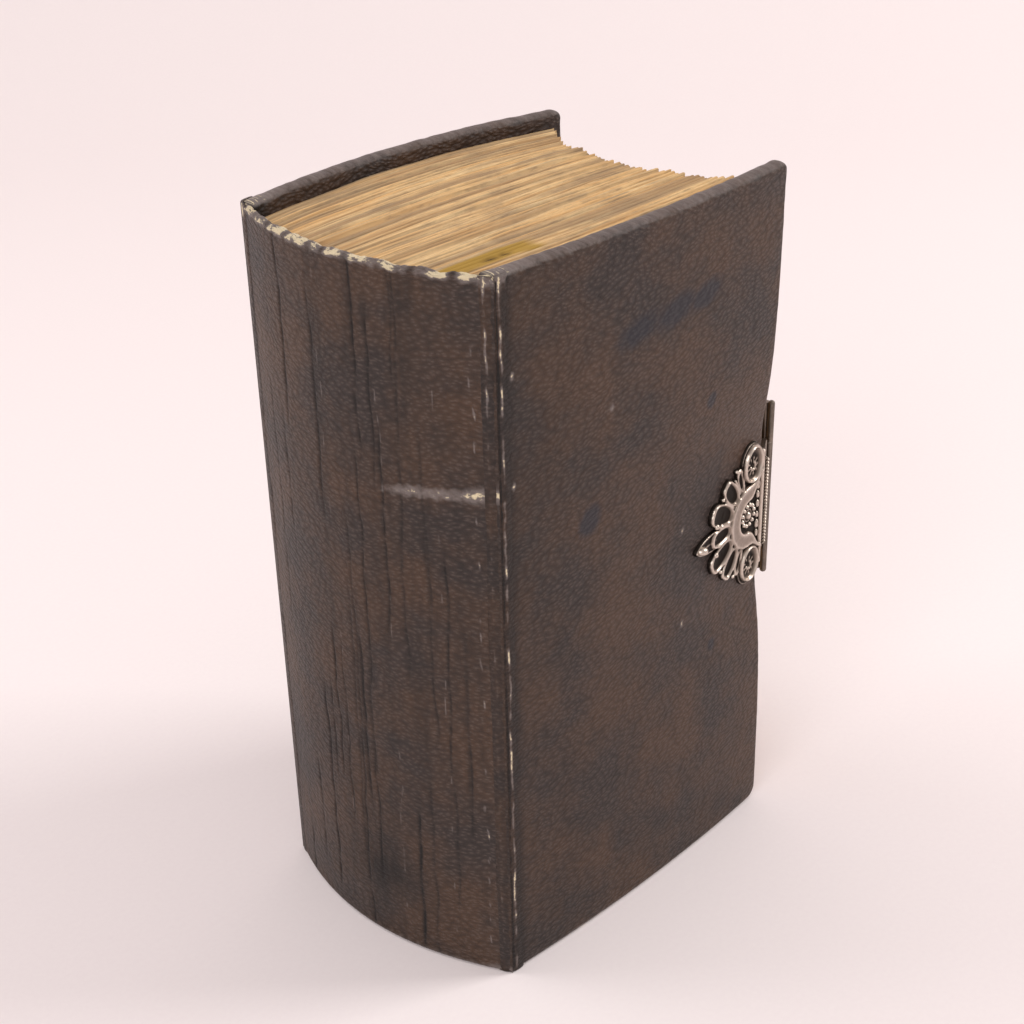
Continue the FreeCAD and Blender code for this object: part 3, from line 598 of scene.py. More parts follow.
def cover_marks(side, x, z, distance, outside):
    """Wear, stains and soot of a cover's leather."""
    flat = np.stack([x, z, np.full_like(x, 3.0 * side)], axis=-1)
    broad = lumps(flat, 14.0, 1)
    fine = lumps(flat, 1.3, 2)
    near_joint = smooth_step(-x, -12.0, -2.0)
    at_head = smooth_step(z, COVER_HEIGHT - 3.0, COVER_HEIGHT)
    wear = smooth_step(-distance, -1.5, -0.1) * (0.62 + 0.3 * near_joint * at_head + 0.12 * fine)
    wear = wear + 0.3 * smooth_step(-z, -9.0, -1.0) * np.clip(broad + 0.3, 0.0, 1.0)
    stain = np.zeros_like(x)
    soot = 0.8 * smooth_step(-x, -5.0, -1.5) + 0.1 * fine * near_joint
    soot = soot + 0.3 * smooth_step(-x, -26.0, -2.0) * np.clip(0.5 + broad, 0.0, 1.0)
    if side == FRONT and outside:
        for at_x, at_z, reach_x, reach_z in INK_STAINS:
            lift = -0.18 * (x - at_x)
            away = ((x - at_x) / reach_x) ** 2 + ((z - at_z + lift) / reach_z) ** 2
            stain = np.maximum(stain, np.exp(-away) * (1.2 + 0.5 * fine))
        for at_x, at_z in FLESH_FLECKS:
            away = ((x - at_x) / 0.55) ** 2 + ((z - at_z) / 0.9) ** 2
            wear = np.maximum(wear, 1.25 * np.exp(-away))
    return np.clip(np.stack([wear, stain, soot], axis=-1), 0.0, 1.3)


def cover_leather(side):
    """Leather over a cover's outside and edges, turned in round the inside."""
    window = (TURN_IN_WIDTH, TURN_IN_WIDTH + 0.15)
    across = window + tuple(COVER_WIDTH - w for w in window)
    upward = window + tuple(COVER_HEIGHT - w for w in window)
    lines_x = close_lines(COVER_WIDTH, 0.75, False, across)
    lines_z = close_lines(COVER_HEIGHT, 0.75, True, upward)
    x, z = np.meshgrid(lines_x, lines_z, indexing="ij")
    distance = np.minimum(COVER_WIDTH - x, np.minimum(z, COVER_HEIGHT - z))
    for radius, at_head in ((HEAD_CORNER_RADIUS, True), (TAIL_CORNER_RADIUS, False)):
        x, z, near = round_corner(x, z, radius, at_head)
        distance = np.where(np.isfinite(near), near, distance)
    sheets = []
    marks = []
    flat = np.stack([x, z, np.full_like(x, 40.0 * side)], axis=-1)
    hollow = 0.10 * lumps(flat, 9.0, 3) + 0.05 * lumps(flat, 3.0, 4)
    frayed = 0.16 * lumps(flat, 2.2, 5) * smooth_step(-distance, -1.6, 0.0)
    frayed = np.maximum(0.13 + frayed, 0.03)
    inset_x = np.where(COVER_WIDTH - x < 2.0, frayed, 0.0)
    inset_z = np.where(COVER_HEIGHT - z < 2.0, frayed, np.where(z < 2.0, -0.06, 0.0))
    for outside in (True, False):
        if outside:
            depth = nose_depth(distance) + 0.05 + hollow * smooth_step(distance, 0.0, 2.0)
        else:
            depth = COVER_THICKNESS - nose_depth(distance) - 0.03
            edge_room = np.minimum(COVER_WIDTH - x, np.minimum(z, COVER_HEIGHT - z))
            in_window = (edge_room > TURN_IN_WIDTH + 0.1) & (x > TURN_IN_WIDTH + 0.1)
            depth = np.where(in_window, BOARD_INNER_DEPTH - 0.25, depth)
        sheets.append(cover_points(side, x - inset_x, depth, z - inset_z))
        marks.append(cover_marks(side, x, z, distance, outside))
    rows, columns = x.shape
    points = np.concatenate([sheet.reshape(-1, 3) for sheet in sheets])
    faces = [grid_faces(rows, columns), grid_faces(rows, columns, rows * columns, flip=True)]
    low = np.arange(columns - 1)
    joint_edge = np.stack([low, low + 1, low + 1 + rows * columns, low + rows * columns], axis=-1)
    faces.append(joint_edge)
    uv = np.tile(np.stack([x, z], axis=-1).reshape(-1, 2), (2, 1))
    name = side_name(side) + "_cover"
    obj = mesh_piece(name + "_hide", points, np.concatenate(faces),
                     bpy.data.materials["tanned_calf_pebbled"], name, uv,
                     np.concatenate([m.reshape(-1, 3) for m in marks]))
    weld(obj)
    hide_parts(side_name(side) + "_leather")
    return obj


def crease(y, z, at_y, low, high, width, seed):
    """A wandering crease in the spine that fades out at both ends."""
    path = at_y + 0.7 * lumps_up(z, 9.0, seed)
    fade = smooth_step(z, low - 4.0, low + 4.0) * smooth_step(-z, -high - 4.0, -high + 4.0)
    return fade * np.exp(-((y - path) / width) ** 2)


def spine_creases():
    """Where each crease runs: across, lowest and highest point, width and depth."""
    rng = np.random.default_rng(3)
    creases = [(-5.0, 112.0, 150.0, 0.3, 1.0), (-13.0, 128.0, 150.0, 0.22, 0.8)]
    for _ in range(30):
        low = rng.uniform(-20.0, 120.0)
        creases.append((rng.uniform(-29.0, 24.0), low, low + rng.uniform(20.0, 60.0),
                        rng.uniform(0.2, 0.4), rng.uniform(0.6, 1.2)))
    return creases


def spine_profile():
    """Depth and height round the spine leather's section: outside, head cap, inside, tail cap."""
    rise = np.linspace(1.2, COVER_HEIGHT - 1.2, 190)
    turn = np.linspace(0.0, math.pi, 9)[1:-1]
    half = CAP_WIDTH / 2.0
    head = [(half - half * math.cos(t), COVER_HEIGHT - 1.2 + 1.15 * math.sin(t)) for t in turn]
    tail = [(half + half * math.cos(t), 1.2 - 1.15 * math.sin(t)) for t in turn]
    outside = [(0.0, z) for z in rise]
    skin = SPINE_LEATHER_THICKNESS
    inside = [(CAP_WIDTH, COVER_HEIGHT - CAP_HEIGHT), (skin, COVER_HEIGHT - 2.6), (skin, 2.6),
              (CAP_WIDTH, CAP_HEIGHT)]
    return np.array(outside + head + inside + tail)


def spine_leather():
    """Leather over the spine, cracked along its length and worn pale at its caps."""
    half = JOINT_SPAN / 2.0 - 0.05
    across = np.linspace(-half, half, 240)
    profile = spine_profile()
    y, index = np.meshgrid(across, np.arange(len(profile)), indexing="ij")
    depth = profile[index, 0]
    z = profile[index, 1]
    outside = depth < 0.05
    flat = np.stack([y, z, 0.0 * y], axis=-1)
    cracks = np.zeros_like(y)
    broken = 0.85 + 0.9 * lumps(flat, 2.5, 19)
    for number, (at_y, low, high, width, deep) in enumerate(spine_creases()):
        line = deep * crease(y, z, at_y, low, high, width, 20 + number)
        cracks = np.maximum(cracks, line * np.clip(broken, 0.0, 1.0))
    swell = 0.2 * lumps(flat, 16.0, 6) + 0.06 * lumps(flat, 4.0, 7)
    ends = smooth_step(np.abs(y), half - 3.0, half)
    worn = 0.26 - swell * (1.0 - ends) - 0.12 * ends + 0.25 * cracks
    depth = depth + np.where(outside, worn, 0.0)
    depth = np.maximum(depth, 0.02)
    near_cap = smooth_step(z, COVER_HEIGHT - 3.0, COVER_HEIGHT - 0.6)
    ragged = near_cap * (0.35 + 0.45 * lumps(flat, 2.4, 8) + 0.2 * lumps(flat, 0.8, 9))
    points = spine_points(depth, y, z - np.maximum(0.0, ragged))
    fine = lumps(flat, 1.1, 10)
    near_tail = smooth_step(-z, -2.2, -0.3)
    cap_edge = smooth_step(z, COVER_HEIGHT - 1.8, COVER_HEIGHT - 0.7)
    torn = 0.85 + 0.9 * lumps(flat, 1.7, 14)
    wear = (0.5 * near_cap + 0.6 * cap_edge) * torn + 0.6 * near_tail + 0.1 * fine
    scuff = np.exp(-((z - SCUFF_HEIGHT + 0.12 * y + 0.8 * fine) / 1.3) ** 2)
    scuff = scuff * smooth_step(-y, 4.0, 16.0)
    wear = wear + 0.95 * scuff + 0.3 * smooth_step(-y, 24.0, 29.0)
    streaks = lumps(flat * (1.0, 0.06, 1.0), 2.4, 12)
    streaks = streaks + 0.5 * lumps(flat * (1.0, 0.1, 1.0), 0.9, 13)
    splash = np.exp(-((y + 4.0) / 9.0) ** 2 - ((z - 17.0) / 5.5) ** 2)
    # Darker along the carved cracks, by each crack's depth, then at the edges by the joints, in a
    # splash and in streaks.
    soot = 0.95 * cracks + 0.35 * smooth_step(np.abs(y), half - 3.0, half) + 0.75 * splash
    soot = soot + 0.55 * np.clip(streaks, 0.0, 1.0)
    for number, at_y in enumerate(SPINE_THREADS):
        thread = crease(y, z, at_y, 0.0, COVER_HEIGHT, 0.16, 60 + number)
        thread = thread * smooth_step(lumps(flat, 3.0, 70 + number), 0.05, 0.3)
        wear = np.maximum(wear, (1.15 if number == 0 else 0.8) * thread)
    stain = 0.35 * np.clip(lumps(flat, 12.0, 11), 0.0, 1.0)
    rows, columns = y.shape
    faces = grid_faces(rows, columns)
    last = np.arange(rows - 1) * columns
    closing = np.stack([last + columns - 1, last + 2 * columns - 1, last + columns, last], axis=-1)
    uv = np.stack([y, z + np.where(outside, 0.0, 2.0 * depth)], axis=-1)
    marks = np.clip(np.stack([wear, stain, soot], axis=-1), 0.0, 1.3)
    obj = mesh_piece("spine_hide", points.reshape(-1, 3), np.concatenate([faces, closing]),
                     bpy.data.materials["tanned_calf_pebbled"], "book_block", uv, marks)
    weld(obj)
    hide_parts("spine_leather")
    return obj


def joint_path(side, depth):
    """The line of leather that rounds a joint, from spine to cover, at tail height."""
    half = JOINT_SPAN / 2.0
    spine_part = [spine_points(depth, side * (half - reach), 0.0)
                  for reach in (2.6, 2.1, 1.6, 1.1, 0.6)]
    cover_part = [cover_points(side, along, depth, 0.0)
                  for along in (0.4, 0.9, 1.4, 1.9, 2.4, 3.0)]
    path = np.array(spine_part + cover_part)
    for _ in range(3):
        path[1:-1] = (path[:-2] + 2.0 * path[1:-1] + path[2:]) / 4.0
    places = np.linspace(0.0, len(path) - 1.0, 25)
    return np.stack([np.interp(places, np.arange(len(path)), path[:, i]) for i in range(3)], -1)


def joint_strip(side):
    """Leather that rounds a joint from the spine onto its cover."""
    outer = joint_path(side, 0.0)
    inner = joint_path(side, 0.6)
    loop = np.concatenate([outer, inner[::-1]])
    rise = np.linspace(0.25, COVER_HEIGHT - 0.35, 260)
    section, z = np.meshgrid(np.arange(len(loop)), rise, indexing="ij")
    points = loop[section]
    points[..., 2] = z
    wave = 0.10 * lumps(points, 2.0, 30 + side)
    outside = section < len(outer)
    centre = np.array([*(outer[len(outer) // 2] + (3.0, -side * 3.0, 0.0))[:2], 0.0])
    away = points - centre
    away[..., 2] = 0.0
    away = away / np.linalg.norm(away, axis=-1, keepdims=True)
    share = section / (len(outer) - 1.0)
    ridge = 0.32 * np.sin(math.pi * np.clip(share, 0.0, 1.0)) ** 0.7 - 0.2
    points = points + np.where(outside, wave * (ridge > 0.0) + ridge, 0.0)[..., None] * away
    fine = lumps(points, 0.9, 33)
    wander = 0.05 * lumps_up(z, 12.0, 35 + side) + 0.035 * lumps_up(z, 2.0, 36 + side)
    spine_crack, cover_crack = JOINT_CRACKS
    crack_a = np.exp(-((share - spine_crack - wander) / 0.045) ** 2)
    crack_b = np.exp(-((share - cover_crack - wander) / 0.05) ** 2)
    head = 0.35 + 0.6 * smooth_step(z, 108.0, 140.0)
    gone = lumps(np.stack([0.3 * share, 0 * z, z], axis=-1), 2.6, 37 + side)
    wear = np.maximum(crack_b, crack_a * head) * (0.8 + 1.3 * gone) + 0.35 * fine
    wear = wear + 0.7 * smooth_step(z, COVER_HEIGHT - 4.0, COVER_HEIGHT - 1.0)
    soot = 0.35 + 0.45 * smooth_step(share, 0.5, 0.75) + 0.2 * fine
    marks = np.clip(np.stack([wear, 0.0 * z, soot - wear], axis=-1), 0.0, 1.3)
    marks = np.where(outside[..., None], marks, 0.3)
    rows, columns = z.shape
    faces = grid_faces(rows, columns, flip=side == FRONT)
    first = np.arange(columns - 1)
    last = first + (rows - 1) * columns
    closing = np.stack([last, first, first + 1, last + 1], axis=-1)
    ends = [[r * columns for r in range(rows)], [r * columns + columns - 1 for r in range(rows)]]
    all_faces = [list(f) for f in np.concatenate([faces, closing])] + ends
    uv = np.stack([share * 6.0 - 3.0, z], axis=-1)
    name = side_name(side)
    obj = mesh_piece(name + "_joint_hide", points.reshape(-1, 3), all_faces,
                     bpy.data.materials["tanned_calf_pebbled"], None, uv, marks)
    weld(obj, 0.0001)
    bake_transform(obj)
    return obj


def leaf_lines(count):
    """Across the block from front to back: place, slip of each line, and gap marks."""
    rng = np.random.default_rng(7)
    places = []
    slips = []
    gaps = []
    for group in range(count):
        head_slip = min(0.3, rng.normal(-0.1, 0.24))
        edge_slip = rng.normal(0.0, 0.3)
        gap_depth = 0.15 + 1.5 * rng.random() ** 3
        for share, down, gap in ((0.0, gap_depth, 0.9), (0.14, 0.10, 0.25), (0.38, 0.0, 0.0),
                                 (0.62, 0.03, 0.0), (0.86, 0.12, 0.25)):
            places.append((group + share) / count)
            slips.append((head_slip - down, edge_slip - down))
            gaps.append(gap * (0.3 + 0.7 * gap_depth))
    places.append(1.0)
    slips.append((0.0, 0.0))
    gaps.append(0.0)
    return np.array(places), np.array(slips), np.array(gaps)


def leaf_side(share, along, z):
    """A point of the page block, by its share of the way from front to back."""
    depth = COVER_THICKNESS + BLOCK_GAP
    front = cover_points(FRONT, along, depth, z)
    back = cover_points(BACK, along, depth, z)
    half = JOINT_SPAN / 2.0 - COVER_THICKNESS - BLOCK_GAP
    spine_y = half * (2.0 * share - 1.0)
    spine = spine_points(BLOCK_SPINE_DEPTH, spine_y, z)
    flat = front + (back - front) * share[..., None]
    reach = np.clip(along / 14.0, 0.0, 1.0)
    ease = smooth_step(reach, 0.0, 1.0)
    y = spine[..., 1] + (flat[..., 1] - spine[..., 1]) * ease
    lean = lean_at(y - book_move()[1]) - lean_at(-JOINT_SPAN / 2.0)
    x_flat = joint_x(FRONT) + book_move()[0] + along + lean
    x = spine[..., 0] * (1.0 - reach) + x_flat * reach
    return np.stack([x, y, np.broadcast_to(z, x.shape)], axis=-1)


def text_leaves():
    """Leaves as fine ridges round the tail, the hollow fore-edge and the head."""
    count = settings()[1].gatherings
    places, slips, gaps = leaf_lines(count)
    reach = COVER_WIDTH - FORE_EDGE_SQUARE
    low = HEAD_SQUARE
    high = COVER_HEIGHT - HEAD_SQUARE
    wide, tall = 60, 46
    tail = [(along, low, 0.0, 1.0) for along in np.linspace(0.0, 1.0, wide)]
    edge = [(1.0, z, 1.0, 0.0) for z in np.linspace(low, high, tall)[1:-1]]
    head = [(along, high, 0.0, 1.0) for along in np.linspace(1.0, 0.0, wide)]
    route = np.array(tail + edge + head)
    line, step = np.meshgrid(np.arange(len(places)), np.arange(len(route)), indexing="ij")
    share = places[line]
    along_share, z, on_edge, on_end = (route[step, i] for i in range(4))
    sink = FORE_EDGE_HOLLOW * (1.0 - (2.0 * share - 1.0) ** 2)
    slip_group = np.array(LEAF_STEPS)[np.minimum((share * len(LEAF_STEPS)).astype(int), 7)]
    edge_slip = slips[line, 1] + 0.75 * slip_group
    far = reach - sink + edge_slip
    flat = np.stack([along_share * 30.0, share * 60.0, z * 0.2], axis=-1)
    far = far + 0.3 * lumps(flat, 7.0, 50) * on_edge
    along = along_share * far
    wander = 0.22 * lumps(np.stack([along, share * 190.0, 0 * z], axis=-1), 13.0, 51)
    rough = 0.05 * lumps(np.stack([along, share * 400.0, 0 * z], axis=-1), 1.5, 52)
    up = np.where(z > COVER_HEIGHT / 2.0, 1.0, -1.0)
    z = z + up * on_end * (slips[line, 0] + wander + rough)
    points = leaf_side(share, along, z)
    # Painted shade in the gaps between gatherings, where the leaves sink; the glue's two dark
    # spots below use the same mark.
    gap = gaps[line] * (0.55 + 0.6 * lumps(np.stack([along, share * 250.0, z], -1), 8.0, 53))
    glue_at = GLUE_SHARE + 0.02 * lumps(np.stack([along, 0 * z, 0 * z], axis=-1), 6.0, 54)
    glue = smooth_step(-np.abs(share - glue_at), -0.045, -0.03) * (up > 0.0) * on_end
    glue = glue * smooth_step(along, 0.5, 3.0) * smooth_step(-along, -25.0, -21.0)
    for spot in GLUE_SPOTS:
        away = ((along - spot) / 0.9) ** 2 + ((share - GLUE_SHARE) * BLOCK_THICKNESS / 0.8) ** 2
        gap = np.maximum(gap, np.exp(-away) * glue)
    marks = np.clip(np.stack([0.0 * gap, glue, gap], axis=-1), 0.0, 0.95)
    walk = np.where(on_edge > 0.5, z, along + np.where(up > 0.0, 400.0, 200.0))
    uv = np.stack([walk, share * BLOCK_THICKNESS], axis=-1)
    rows, columns = share.shape
    faces = grid_faces(rows, columns, flip=True)
    first = np.arange(rows - 1) * columns
    spine_faces = np.stack([first, first + columns, first + 2 * columns - 1, first + columns - 1],
                           axis=-1)
    points, uv, marks = points.reshape(-1, 3), uv.reshape(-1, 2), marks.reshape(-1, 3)
    all_faces = [faces, spine_faces]
    for row in (0, rows - 1):
        side_z = np.repeat(np.concatenate([[low], z[row, wide:-wide], [high]])[:, None], wide, 1)
        side_z[0] = z[row, :wide]
        side_z[-1] = z[row, :-wide - 1:-1]
        side_far = far[row, wide - 1:columns - wide + 1]
        side_along = np.linspace(0.0, 1.0, wide) * side_far[:, None]
        side = leaf_side(np.full_like(side_z, share[row, 0]), side_along, side_z)
        all_faces.append(grid_faces(tall, wide, len(points)))
        points = np.concatenate([points, side.reshape(-1, 3)])
        uv = np.concatenate([uv, np.stack([side_z, side_along], axis=-1).reshape(-1, 2)])
        marks = np.concatenate([marks, np.zeros((tall * wide, 3))])
    obj = mesh_piece("text_leaves", points, np.concatenate(all_faces),
                     bpy.data.materials["rag_paper_cut"], "book_block", uv, marks)
    weld(obj, 0.00001)
    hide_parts("text_block")
    return obj


def flyleaf(side):
    """The first or last leaf, lying on the side of the block."""
    reach = COVER_WIDTH - FORE_EDGE_SQUARE - 0.6
    rise = (HEAD_SQUARE + 0.3, COVER_HEIGHT - HEAD_SQUARE - 0.3)
    along, z = np.meshgrid(np.linspace(0.5, reach, 40), np.linspace(*rise, 60), indexing="ij")
    share = np.full_like(along, 0.0 if side == FRONT else 1.0)
    inner = leaf_side(share, along, z)
    sheets = [inner + (0.0, side * proud, 0.0) for proud in (-0.07, 0.08)]
    rows, columns = along.shape
    count = rows * columns
    faces = [grid_faces(rows, columns), grid_faces(rows, columns, count, flip=True)]
    index = np.arange(count).reshape(rows, columns)
    border = np.concatenate([index[:, 0], index[-1, 1:], index[-2::-1, -1], index[0, -2::-1]])
    faces.append(np.stack([border[:-1], border[1:], border[1:] + count, border[:-1] + count], -1))
    points = np.concatenate([sheet.reshape(-1, 3) for sheet in sheets])
    obj = mesh_piece(side_name(side) + "_flyleaf", points, np.concatenate(faces),
                     bpy.data.materials["rag_paper_pasted"], "book_block")
    weld(obj, 0.00001)
    return obj


def polar(x, z):
    """Angle from the plate's inboard line and distance, seen from the crescent's hub."""
    return np.degrees(np.arctan2(z, HUB - x)), np.hypot(x - HUB, z)


def oval(x, z, angle, centre, half_long, half_wide, power=3.0):
    """Share of the way from an oval's middle to its border, by its place round the hub."""
    turn = math.radians(angle)
    along = (HUB - x) * math.cos(turn) + z * math.sin(turn)
    across = -(HUB - x) * math.sin(turn) + z * math.cos(turn)
    long_share = np.abs(along - centre) / half_long
    swell = smooth_step(along, centre - half_long, centre + 0.2 * half_long)
    wide = half_wide * (0.72 + 0.28 * swell)
    return (long_share ** power + (np.abs(across) / wide) ** power) ** (1.0 / power)


def petal_relief(x, z, angle, near, far, half_wide):
    """A petal with a raised rim round a scooped middle."""
    centre = (near + far) / 2.0
    half_long = (far - near) / 2.0
    rho = oval(x, z, angle, centre, half_long, half_wide)
    gap = (1.0 - rho) * half_wide
    body = 0.95 - 0.62 * np.clip(1.0 - rho ** 2, 0.0, 1.0) ** 0.8
    rim = 0.42 * np.exp(-((gap - 0.28) / 0.22) ** 2)
    height = body + rim
    return np.where(gap > 0.0, height, -1.0)


def rib_relief(x, z, angle, near, far):
    """A narrow raised rib that runs outward between two petals."""
    turn = math.radians(angle)
    along = (HUB - x) * math.cos(turn) + z * math.sin(turn)
    across = -(HUB - x) * math.sin(turn) + z * math.cos(turn)
    fade = smooth_step(along, near, near + 0.6) * smooth_step(-along, -far, -far + 0.8)
    height = fade * (0.75 + 0.45 * np.exp(-(across / 0.22) ** 2)) - (1.0 - fade) * 2.0
    return np.where(np.abs(across) < 0.34, height, -1.0)


def bead_relief(x, z, at_x, at_z, radius, top, stretch=1.0):
    """A small domed bead."""
    away = np.hypot((x - at_x) / stretch, z - at_z) / radius
    rise = radius * np.sqrt(np.clip(1.0 - away ** 2, 0, 1))
    return np.where(away < 1.0, top - radius + rise, -1.0)


def medallion_relief(x, z, at_x, at_z, lean):
    """A dished medallion with a raised rim and an off-centre daisy."""
    away = np.hypot((x - at_x) / 0.92, (z - at_z) / 1.08)
    collar = np.hypot((x - at_x + 0.3) / 0.96, (z - at_z - 0.4 * lean) / 1.08)
    height = np.where(collar < 4.15, 0.5 + 0.3 * np.exp(-((collar - 3.95) / 0.2) ** 2), -1.0)
    inner = 0.42 + 0.5 * (away / 3.6) ** 2 + 0.75 * np.exp(-((away - 3.55) / 0.26) ** 2)
    height = np.where(away < 3.85, inner, height)
    eye_x, eye_z = at_x + 0.2, at_z - 0.55
    turn = np.arctan2(z - eye_z, x - eye_x)
    reach = np.hypot(x - eye_x, z - eye_z)
    rays = 0.32 * np.clip(np.cos(9.0 * turn + 0.6), 0.0, 1.0)
    rays = rays * smooth_step(reach, 0.5, 0.9) * smooth_step(-reach, -2.3, -1.7)
    curl = 0.5 * np.exp(-((reach - 0.85) / 0.24) ** 2) * (turn < 1.2)
    boss = 0.25 * np.exp(-(reach / 0.5) ** 2)
    return np.where(away < 3.3, height + rays + curl + boss, height)


def crescent_relief(x, z):
    """A flat crescent with a fine raised edge, drawn out into two horns at the ridge."""
    side_z = np.abs(z)
    right = smooth_step(x, HUB, RIDGE_X)
    swing_out = 7.15 + 2.3 * right ** 1.6
    swing_in = 3.75 + 4.9 * right ** 1.15
    left_out = np.hypot(x - HUB, z)
    outer = np.where(x < HUB, left_out - 7.15, side_z - swing_out)
    inner = np.where(x < HUB, 3.75 - left_out, swing_in - side_z)
    inside = np.maximum(outer, inner)
    edge = np.exp(-((inside + 0.2) / 0.16) ** 2)
    crown = 1.35 + 0.12 * edge - 0.06 * smooth_step(-inside, 0.2, 1.6)
    shown = (inside < 0.0) & (x < RIDGE_X)
    return np.where(shown, crown, -1.0)


def rosette_relief(x, z):
    """A domed centre in a ring of beads, with scroll leaves beside the ridge."""
    at_x = HUB + 0.25
    height = bead_relief(x, z, at_x, 0.0, 0.95, 1.35)
    ring = np.hypot(x - at_x, z)
    height = np.maximum(height, np.where(np.abs(ring - 1.35) < 0.22, 0.8, -1.0))
    for step in range(12):
        turn = 2.0 * math.pi * (step + 0.5) / 12
        height = np.maximum(height, bead_relief(x, z, at_x + 2.35 * math.cos(turn),
                                                2.35 * math.sin(turn), 0.52, 1.2))
    for at_z, size in SCROLL_LEAVES:
        away = np.hypot((x + 2.75) / 0.75, (z - at_z) / 1.25)
        leaf = 1.05 - 0.5 * np.abs(away / size - 0.55)
        height = np.maximum(height, np.where(away < size, leaf, -1.0))
    return height


def tip_relief(x, z):
    """The leaf that ends the plate in a point, folded along its middle."""
    root = HUB - 13.0
    share = np.clip((root - x) / 6.9, 0.0, 1.0)
    half = 2.25 * (1.0 - share ** 3.2) ** 0.6 * (1.0 - 0.2 * share)
    gap = half - np.abs(z)
    height = 0.5 + 0.3 * np.exp(-((gap - 0.22) / 0.2) ** 2) + 0.2 * np.exp(-(z / 0.25) ** 2)
    return np.where((gap > 0.0) & (x < root + 0.8) & (share < 1.0), height, -1.0)


def blur(field, radius):
    """A field evened out over about radius grid cells."""
    steps = np.arange(-3 * radius, 3 * radius + 1)
    weights = np.exp(-0.5 * (steps / radius) ** 2)
    weights = weights / weights.sum()
    for axis in (0, 1):
        padded = np.pad(field, [(3 * radius, 3 * radius) if i == axis else (0, 0) for i in (0, 1)],
                        mode="edge")
        field = np.apply_along_axis(lambda row: np.convolve(row, weights, "valid"), axis, padded)
    return field


# Each petal: angle from the plate's middle line, near end, far end and half width
PETALS = ((0.0, 6.6, 14.3, 2.0), (24.0, 6.8, 15.8, 2.65), (-25.0, 6.8, 15.6, 2.6),
          (49.5, 6.8, 14.6, 2.15), (-51.0, 6.8, 14.4, 2.15), (70.5, 6.8, 13.4, 1.2),
          (-71.5, 6.8, 13.2, 1.2))
# Each rib: angle, near end and far end
RIBS = ((10.5, 7.0, 12.6), (-10.0, 7.0, 12.8), (13.0, 7.0, 11.6), (-13.0, 7.0, 11.6),
        (37.5, 7.0, 12.6), (-38.5, 7.0, 12.6), (62.0, 7.0, 12.9), (-62.5, 7.0, 12.6))
# Small leaves beside the ridge: height and size
SCROLL_LEAVES = ((5.7, 0.9), (3.4, 0.7), (1.2, 0.75), (-1.4, 0.6), (-3.6, 0.85), (-5.8, 0.7))
# Beads in the notches between petals: place and radius
NOTCH_BEADS = ((-17.1, 8.2, 0.55), (-17.1, -8.6, 0.55), (-11.9, 12.4, 0.5), (-12.0, -12.2, 0.5),
               (-15.6, 10.9, 0.4), (-20.6, 0.0, 0.4))


def plate_relief(x, z):
    """Height of the cast shell above the leather, or below it where there is no metal."""
    angle, reach = polar(x, z)
    ground_edge = 11.4 + 0.9 * np.cos(np.radians(angle * 7.2))
    height = np.where((reach < ground_edge) & (x < RIDGE_X), 0.42, -1.0)
    for turn, near, far, half_wide in PETALS:
        height = np.maximum(height, petal_relief(x, z, turn, near, far, half_wide))
    for turn, near, far in RIBS:
        height = np.maximum(height, rib_relief(x, z, turn, near, far))
    height = np.maximum(height, tip_relief(x, z))
    for at_x, at_z, radius in NOTCH_BEADS:
        height = np.maximum(height, bead_relief(x, z, at_x, at_z, radius, 1.15))
    for at_z, lean in ((11.7, 1.0), (-11.9, -1.0)):
        dish = medallion_relief(x, z, -5.6, at_z, lean)
        height = np.where(dish > 0.0, dish, height)
    sunk = (reach < 3.9) & (x < RIDGE_X)
    height = np.where(sunk, 0.35, height)
    height = np.maximum(height, rosette_relief(x, z))
    crescent = crescent_relief(x, z)
    height = np.where(crescent > 0.0, crescent, height)
    ridge = 0.75 + 0.5 * np.sqrt(np.clip(1.0 - ((x - RIDGE_X) / 0.5) ** 2, 0.0, 1.0))
    on_ridge = (np.abs(x - RIDGE_X) < 0.5) & (np.abs(z) < 13.6)
    return np.where(on_ridge, np.maximum(height, ridge), height)


def shell_plate(side):
    """The cast shell plate as one closed relief."""
    lines_x = np.arange(-27.2, -0.9, PLATE_GRID)
    lines_z = np.arange(-17.2, 17.3, PLATE_GRID)
    x, z = np.meshgrid(lines_x, lines_z, indexing="ij")
    raw = plate_relief(x, z)
    metal = raw > 0.0
    height = blur(np.where(metal, raw, PLATE_BACK - 0.1), 1)
    spread = blur(metal.astype(float), 1) > 0.12
    cells = spread[:-1, :-1] & spread[1:, :-1] & spread[1:, 1:] & spread[:-1, 1:]
    broad = blur(np.where(metal, raw, 0.2), 4)
    proud = np.clip(0.3 + 1.8 * (height - broad), 0.0, 1.0)
    hidden = np.clip(1.5 * (broad - height) + 0.8 * smooth_step(-height, -0.85, -0.4), 0.0, 1.0)
    front = np.stack([x, -height, z], axis=-1)
    back = np.stack([x, np.full_like(x, -PLATE_BACK), z], axis=-1)
    rows, columns = x.shape
    count = rows * columns
    points = np.concatenate([front.reshape(-1, 3), back.reshape(-1, 3)])
    faces = np.concatenate([grid_faces(rows, columns, keep=cells),
                            grid_faces(rows, columns, count, flip=True, keep=cells)])
    marks = np.stack([proud, 0.0 * x, hidden], axis=-1).reshape(-1, 3)
    marks = np.concatenate([marks, np.full_like(marks, 0.5)])
    name, body = plate_name(side), side_name(side) + "_cover"
    obj = mesh_piece(name + "_shell", on_plate(side, points), faces,
                     bpy.data.materials["silver_cast_tarnished"], body, None, marks)
    close_rim(obj)
    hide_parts(name + "_plate")
    return obj


